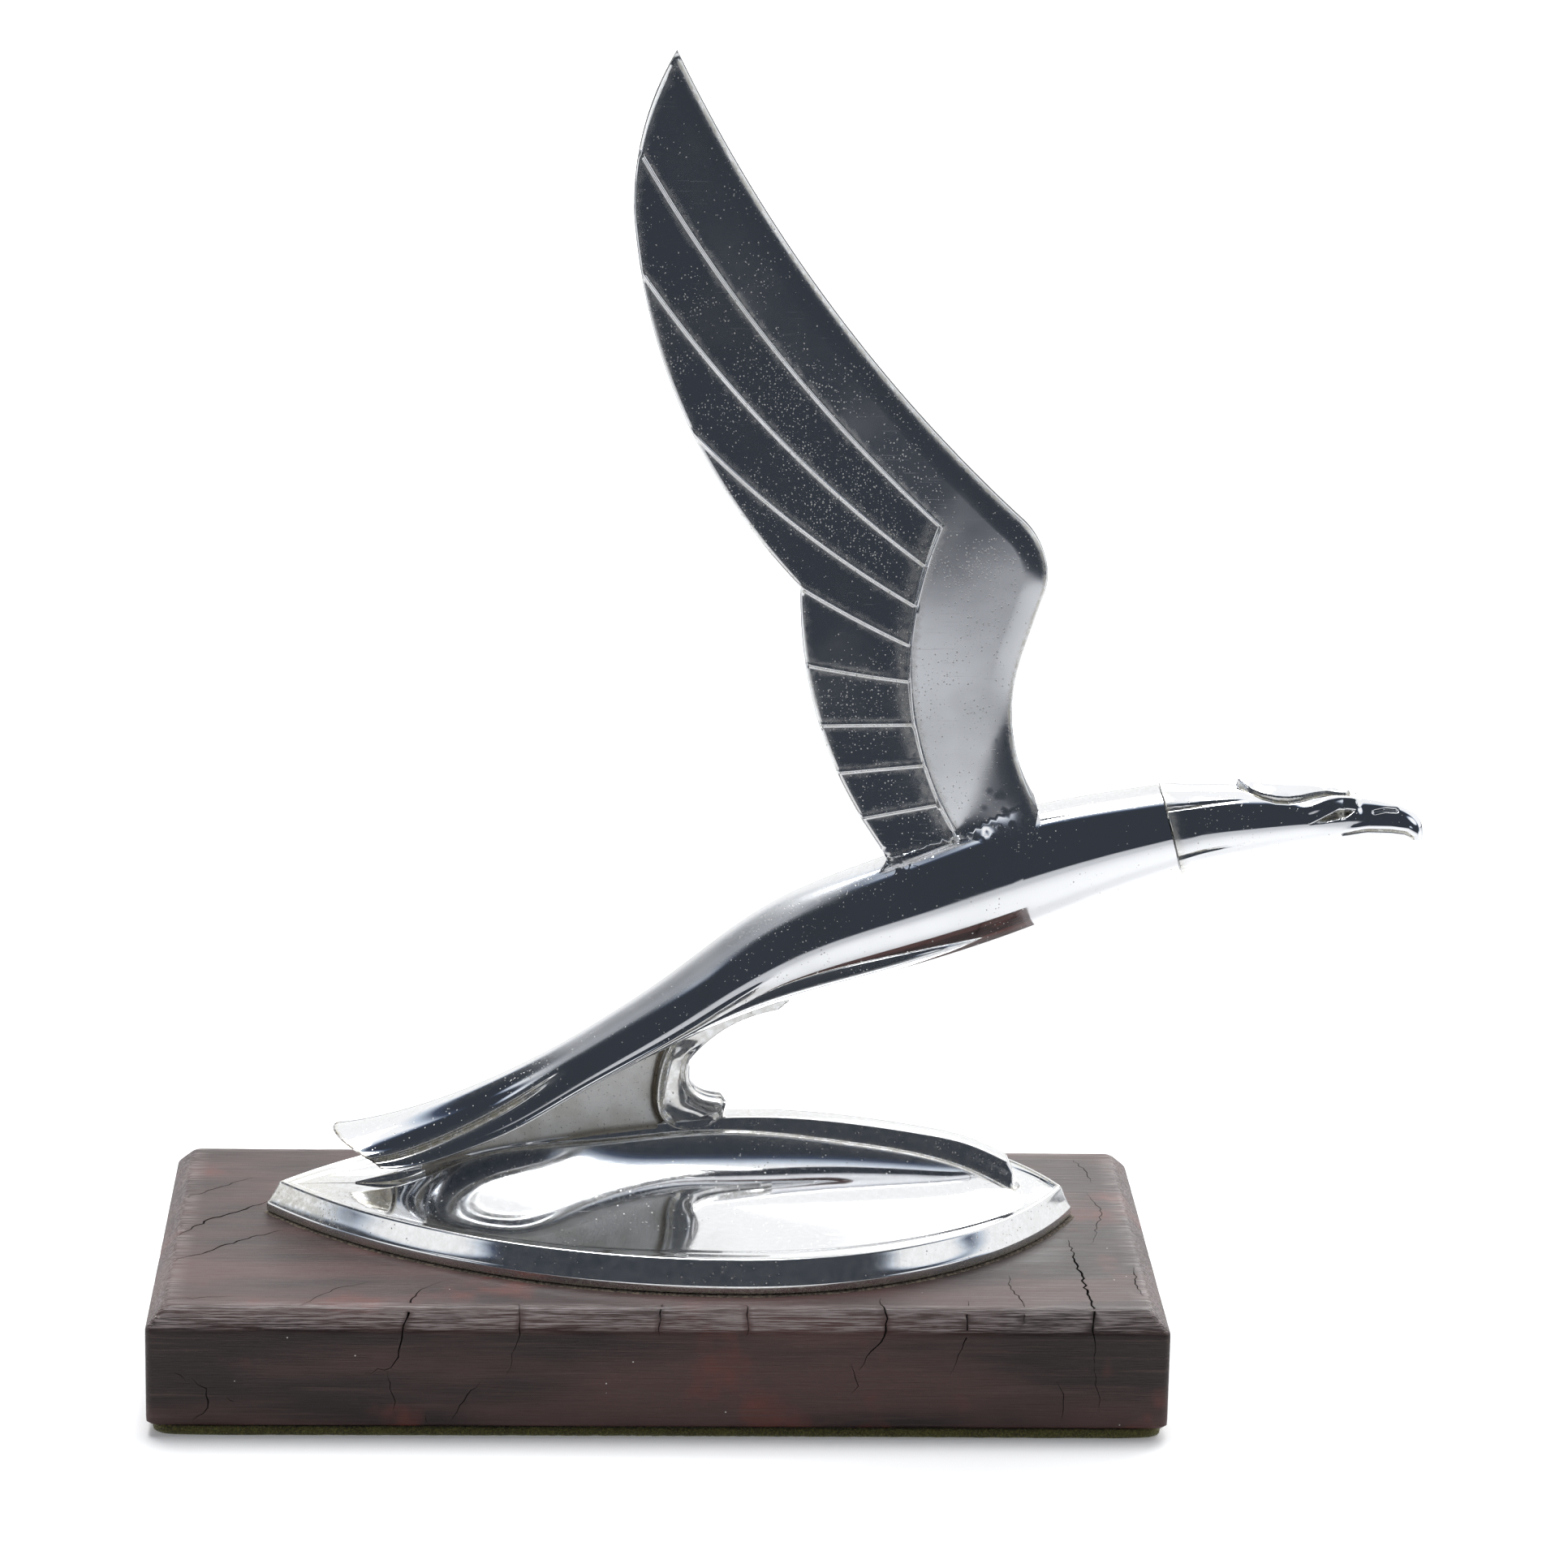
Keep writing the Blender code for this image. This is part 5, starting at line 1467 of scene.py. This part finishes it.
def plinth_skin():
    """The bevelled block as a closed grid with slightly uneven faces and soft, worn edges."""
    rng = np.random.default_rng(3)
    low, high = PLINTH_LOW, PLINTH_HIGH
    half_x, half_y, _ = (high - low) / 2
    wall_top = high[2] - BEVEL_DOWN
    rings = []
    worn = []
    count = len(plinth_ring(half_x, half_y))
    drift = smoothed_round(rng.random(count) - 0.5, 5)
    for height, inset in plinth_levels(low[2], wall_top, high[2]):
        points = plinth_ring(half_x - inset, half_y - inset)
        edge = bump(height - wall_top - 0.1, 0.5) + bump(height - high[2], 0.35)
        chip = 0.5 * edge * (drift + 0.25 * (rng.random(count) - 0.5))
        outward = points - np.sign(points) * np.clip(np.abs(points) - 6.0, 0.0, None)
        outward /= np.linalg.norm(outward, axis=1)[:, None]
        points = points - outward * np.clip(chip, 0.0, 0.3)[:, None]
        rings.append(np.column_stack([points, np.full(count, height)]))
        on_bevel = smooth_step(wall_top - 0.2, wall_top + 0.5, height)
        on_bevel = on_bevel * smooth_step(0.6, 1.2, high[2] + 1.0 - height)
        worn.append(np.full(count, on_bevel))
    top = rings[-1]
    for share in (0.97, 0.9, 0.75, 0.5, 0.2):
        rings.append(top * (share, share, 1.0))
        worn.append(np.full(count, 0.12))
    points, faces = closed_tube(rings)
    return points + middle_of(low, high), faces, np.array(worn).ravel()


def make_plinth(material, crack_material):
    points, faces, worn = plinth_skin()
    marks = {"worn": worn}
    obj = make_piece("wooden_plinth", points, faces, material, marks=marks, sharp=WOOD_SHARP)
    obj.data.materials.append(crack_material)
    rng = np.random.default_rng(11)
    group = bpy.data.collections.new("crack_cutters")
    for number, crack in enumerate(CRACKS):
        mesh = crack_wedge(f"crack_{number}", *crack, rng)
        mesh.materials.append(crack_material)
        tidy_mesh(mesh)
        group.objects.link(bpy.data.objects.new(f"crack_{number}", mesh))
    bpy.context.scene.collection.children.link(group)
    cut = obj.modifiers.new("cracks", "BOOLEAN")
    cut.operation = "DIFFERENCE"
    cut.solver = "EXACT"
    cut.operand_type = "COLLECTION"
    cut.collection = group
    cut.material_mode = "TRANSFER"
    bpy.context.view_layer.update()
    graph = bpy.context.evaluated_depsgraph_get()
    made = bpy.data.meshes.new_from_object(obj.evaluated_get(graph))
    obj.modifiers.clear()
    obj.data = made
    made.shade_smooth()
    made.set_sharp_from_angle(angle=math.radians(WOOD_SHARP))
    for cutter in list(group.objects):
        bpy.data.objects.remove(cutter)
    bpy.data.collections.remove(group)
    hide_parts("plinth_block")


# ---- felt ----


def make_felt(material, fibre_material):
    """The felt pad with a slightly ragged edge, and loose fibres round it."""
    rng = np.random.default_rng(5)
    low, high = FELT_LOW, FELT_HIGH
    half_x, half_y, thick = (high - low) / (2, 2, 1)
    count = 520
    fibres = 2600
    squareness = 40.0
    turn = np.linspace(0.0, 2.0 * math.pi, count, endpoint=False)
    across_x = np.abs(np.cos(turn) / half_x) ** squareness
    across_y = np.abs(np.sin(turn) / half_y) ** squareness
    radius = (across_x + across_y) ** (-1.0 / squareness)
    edge = np.stack([np.cos(turn), np.sin(turn)], axis=1) * radius[:, None]
    levels = [(0.0, 0.35), (0.25, 0.05), (0.7, 0.0), (1.1, 0.05), (1.45, 0.3), (thick, 0.8)]
    rings = []
    for height, inset in levels:
        scale = 1.0 - (inset + 0.22 * rng.random(count)) / radius
        rings.append(np.column_stack([edge * scale[:, None], np.full(count, low[2] + height)]))
    points, faces = closed_tube(rings)
    centre = middle_of(low, high)
    pad = make_piece("felt_base_pad", points + centre, faces, material, sharp=60.0)
    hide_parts("felt_pad")

    hairs = []
    hair_faces = []
    for _ in range(fibres):
        spot = rng.integers(count)
        root = np.append(edge[spot] * (1.0 - 0.1 / radius[spot]), low[2] + rng.uniform(0.1, 1.5)) + centre
        out = np.append(edge[spot] / radius[spot], 0.0)
        lean = out * rng.uniform(0.1, 0.55) + rng.normal(0.0, 0.4, 3) * (0.7, 0.7, 0.3)
        lean *= rng.uniform(0.25, 0.7)
        bend = rng.normal(0.0, 0.12, 3)
        wide = np.array((-out[1], out[0], 0.0)) * 0.022
        hair_faces += grid_faces(3, 3, first=len(hairs))
        for share in (0.0, 0.5, 1.0):
            place = root + lean * share + bend * share * share
            place[2] = np.clip(place[2], low[2] + 0.02, high[2])
            thin = 1.0 - 0.7 * share
            hairs += [place - wide * thin, place + wide * thin, place + (0, 0, 0.03 * thin)]
    make_piece("felt_fibres", hairs, hair_faces, fibre_material)


# ---- carried-over CAD nodes ----


def dress_cad_nodes():
    """The inner fixings keep their CAD shapes and get machined steel and brass."""
    steel = turned_metal_material("turned_steel", (0.20, 0.17, 0.14), (0.56, 0.57, 0.58), 0.12, 0.26)
    brass = turned_metal_material("turned_brass", (0.30, 0.19, 0.08), (0.74, 0.55, 0.27), 0.15, 0.22)
    for name, node in frame["nodes"].items():
        if node.hide_render:
            continue
        node.data.materials.clear()
        node.data.materials.append(brass if name == "neck_bush" else steel)


# ---- studio ----

CAMERA_PLACE = (-17.2, -967.6, 379.6)
CAMERA_DOWN = math.radians(15.76)
CAMERA_TURN = math.radians(2.29)  # toward +X
CAMERA_ROLL = math.radians(1.10)
CAMERA_LENS = 130.7
# The floor and the card, in metres
FLOOR_REACH = 4.0
CARD_SIDE = 2.4
CARD_BACK = 2.6
CARD_LIFT = 0.00002


def make_camera():
    flat = math.cos(CAMERA_DOWN)
    ahead = Vector((math.sin(CAMERA_TURN) * flat, math.cos(CAMERA_TURN) * flat, -math.sin(CAMERA_DOWN)))
    level = ahead.cross(Vector((0, 0, 1))).normalized()
    upright = level.cross(ahead)
    right = level * math.cos(CAMERA_ROLL) + upright * math.sin(CAMERA_ROLL)
    up = upright * math.cos(CAMERA_ROLL) - level * math.sin(CAMERA_ROLL)
    data = bpy.data.cameras.new("camera")
    data.lens = CAMERA_LENS
    data.sensor_width = 36.0
    data.clip_start = 0.05
    data.clip_end = 20.0
    camera = bpy.data.objects.new("camera", data)
    turned = Matrix((right, up, -ahead)).transposed().to_4x4()
    camera.matrix_world = Matrix.Translation(Vector(CAMERA_PLACE) * MM) @ turned
    bpy.context.scene.collection.objects.link(camera)
    bpy.context.scene.camera = camera


def stage_mesh(name, outline, material):
    mesh = bpy.data.meshes.new(name)
    mesh.from_pydata(outline, [], [tuple(range(len(outline)))])
    mesh.materials.append(material)
    obj = bpy.data.objects.new(name, mesh)
    bpy.context.scene.collection.objects.link(obj)
    obj.visible_shadow = False
    obj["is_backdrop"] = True
    return obj


def make_floor():
    """A white table, and a card just over it with a rounded front that only the chrome reflects."""
    corners = [(x * FLOOR_REACH, y * FLOOR_REACH, 0.0) for x, y in ((-1, -1), (1, -1), (1, 1), (-1, 1))]
    floor = stage_mesh("studio_floor", corners, floor_material())
    floor.visible_glossy = False
    wide, ahead = (1.2 * reach * MM for reach in CARD_REACH)
    turns = np.linspace(0.0, math.pi, 49)
    front = [(-wide * math.cos(turn), -ahead * math.sin(turn), CARD_LIFT) for turn in turns]
    left = (-CARD_SIDE, 0.0, CARD_LIFT)
    right = (CARD_SIDE, 0.0, CARD_LIFT)
    rear = [(CARD_SIDE, CARD_BACK, CARD_LIFT), (-CARD_SIDE, CARD_BACK, CARD_LIFT)]
    card = stage_mesh("studio_card", [left, *front, right, *rear], card_material())
    card.visible_camera = False
    card.visible_diffuse = False


def make_world():
    """A white studio with a dark room behind the camera. The camera itself sees only white."""
    world = bpy.data.worlds.new("studio")
    bpy.context.scene.world = world
    world.use_nodes = True
    sky = Nodes(world.node_tree)
    way = sky.add("ShaderNodeTexCoord").outputs["Generated"]

    def toward(direction, inner, outer):
        """1 within an angle of a direction and 0 beyond a wider one."""
        near = sky.vectors("DOT_PRODUCT", way, Vector(direction).normalized())["Value"]
        return sky.remap(near, math.cos(math.radians(outer)), math.cos(math.radians(inner)))

    def without(value, lamp):
        return sky.maths("SUBTRACT", value, sky.times(value, lamp))

    x, y, z = sky.split(way)
    room = sky.remap(y, 0.02, -0.24)
    high_left = sky.times(sky.remap(x, -0.34, -0.47), sky.remap(z, 0.28, 0.45))
    gap = sky.times(high_left, sky.remap(y, 0.84, 0.62))
    softbox = toward((-0.62, -0.24, 0.75), 3.0, 8.0)
    side_cards = sky.larger(*(toward((x_way, -0.40, 0.35), 9.0, 18.0) for x_way in (-0.88, 0.88)))
    ramp = sky.add("ShaderNodeValToRGB")
    sky.put(ramp.inputs[0], without(without(sky.larger(room, gap), softbox), side_cards))
    stops = ramp.color_ramp.elements
    stops[0].color = (1.0, 1.0, 1.0, 1.0)
    stops[1].color = (0.036, 0.042, 0.053, 1.0)
    stops.new(0.35).color = (0.55, 0.62, 0.72, 1.0)
    stops.new(0.75).color = (0.062, 0.082, 0.13, 1.0)
    to_camera = sky.add("ShaderNodeLightPath").outputs["Is Camera Ray"]
    background = sky.tree.nodes["Background"]
    sky.put(background.inputs["Color"], sky.blend(to_camera, ramp.outputs[0], (1.0, 1.0, 1.0)))
    background.inputs["Strength"].default_value = 1.15


def make_lights():
    """One large soft lamp overhead and a weaker one behind, on the right."""
    for name, place, size, power in (
        ("key_softbox", (-0.12, 0.30, 1.45), 0.7, 18.0),
        ("rear_softbox", (0.6, 1.2, 1.0), 0.9, 14.0),
    ):
        data = bpy.data.lights.new(name, "AREA")
        data.shape = "SQUARE"
        data.size = size
        data.energy = power
        lamp = bpy.data.objects.new(name, data)
        lamp.location = place
        lamp.rotation_euler = (Vector((0.0, 0.0, 0.1)) - Vector(place)).to_track_quat("-Z", "Y").to_euler()
        bpy.context.scene.collection.objects.link(lamp)


def write_sizes():
    """The CAD box and the visual model's box, gathered side by side."""
    boxes = {"cad": CAD_BOX, "visual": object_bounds()}
    plain = {name: [list(low), list(high)] for name, (low, high) in boxes.items()}


def main():
    chrome = chrome_material()
    make_camera()
    make_world()
    make_floor()
    make_lights()
    make_plinth(wood_material(), crack_inside_material())
    make_felt(
        felt_material("felt_wool", (0.20, 0.19, 0.045)),
        felt_material("felt_fibre_wool", (0.26, 0.25, 0.07)),
    )
    make_base(chrome)
    make_foot_grime(grime_material())
    make_body(chrome)
    make_wings(chrome)
    make_web(satin_material())
    make_leg(chrome)
    make_head(chrome)
    dress_cad_nodes()
    bpy.context.scene.view_settings.view_transform = "Standard"
    write_sizes()


main()
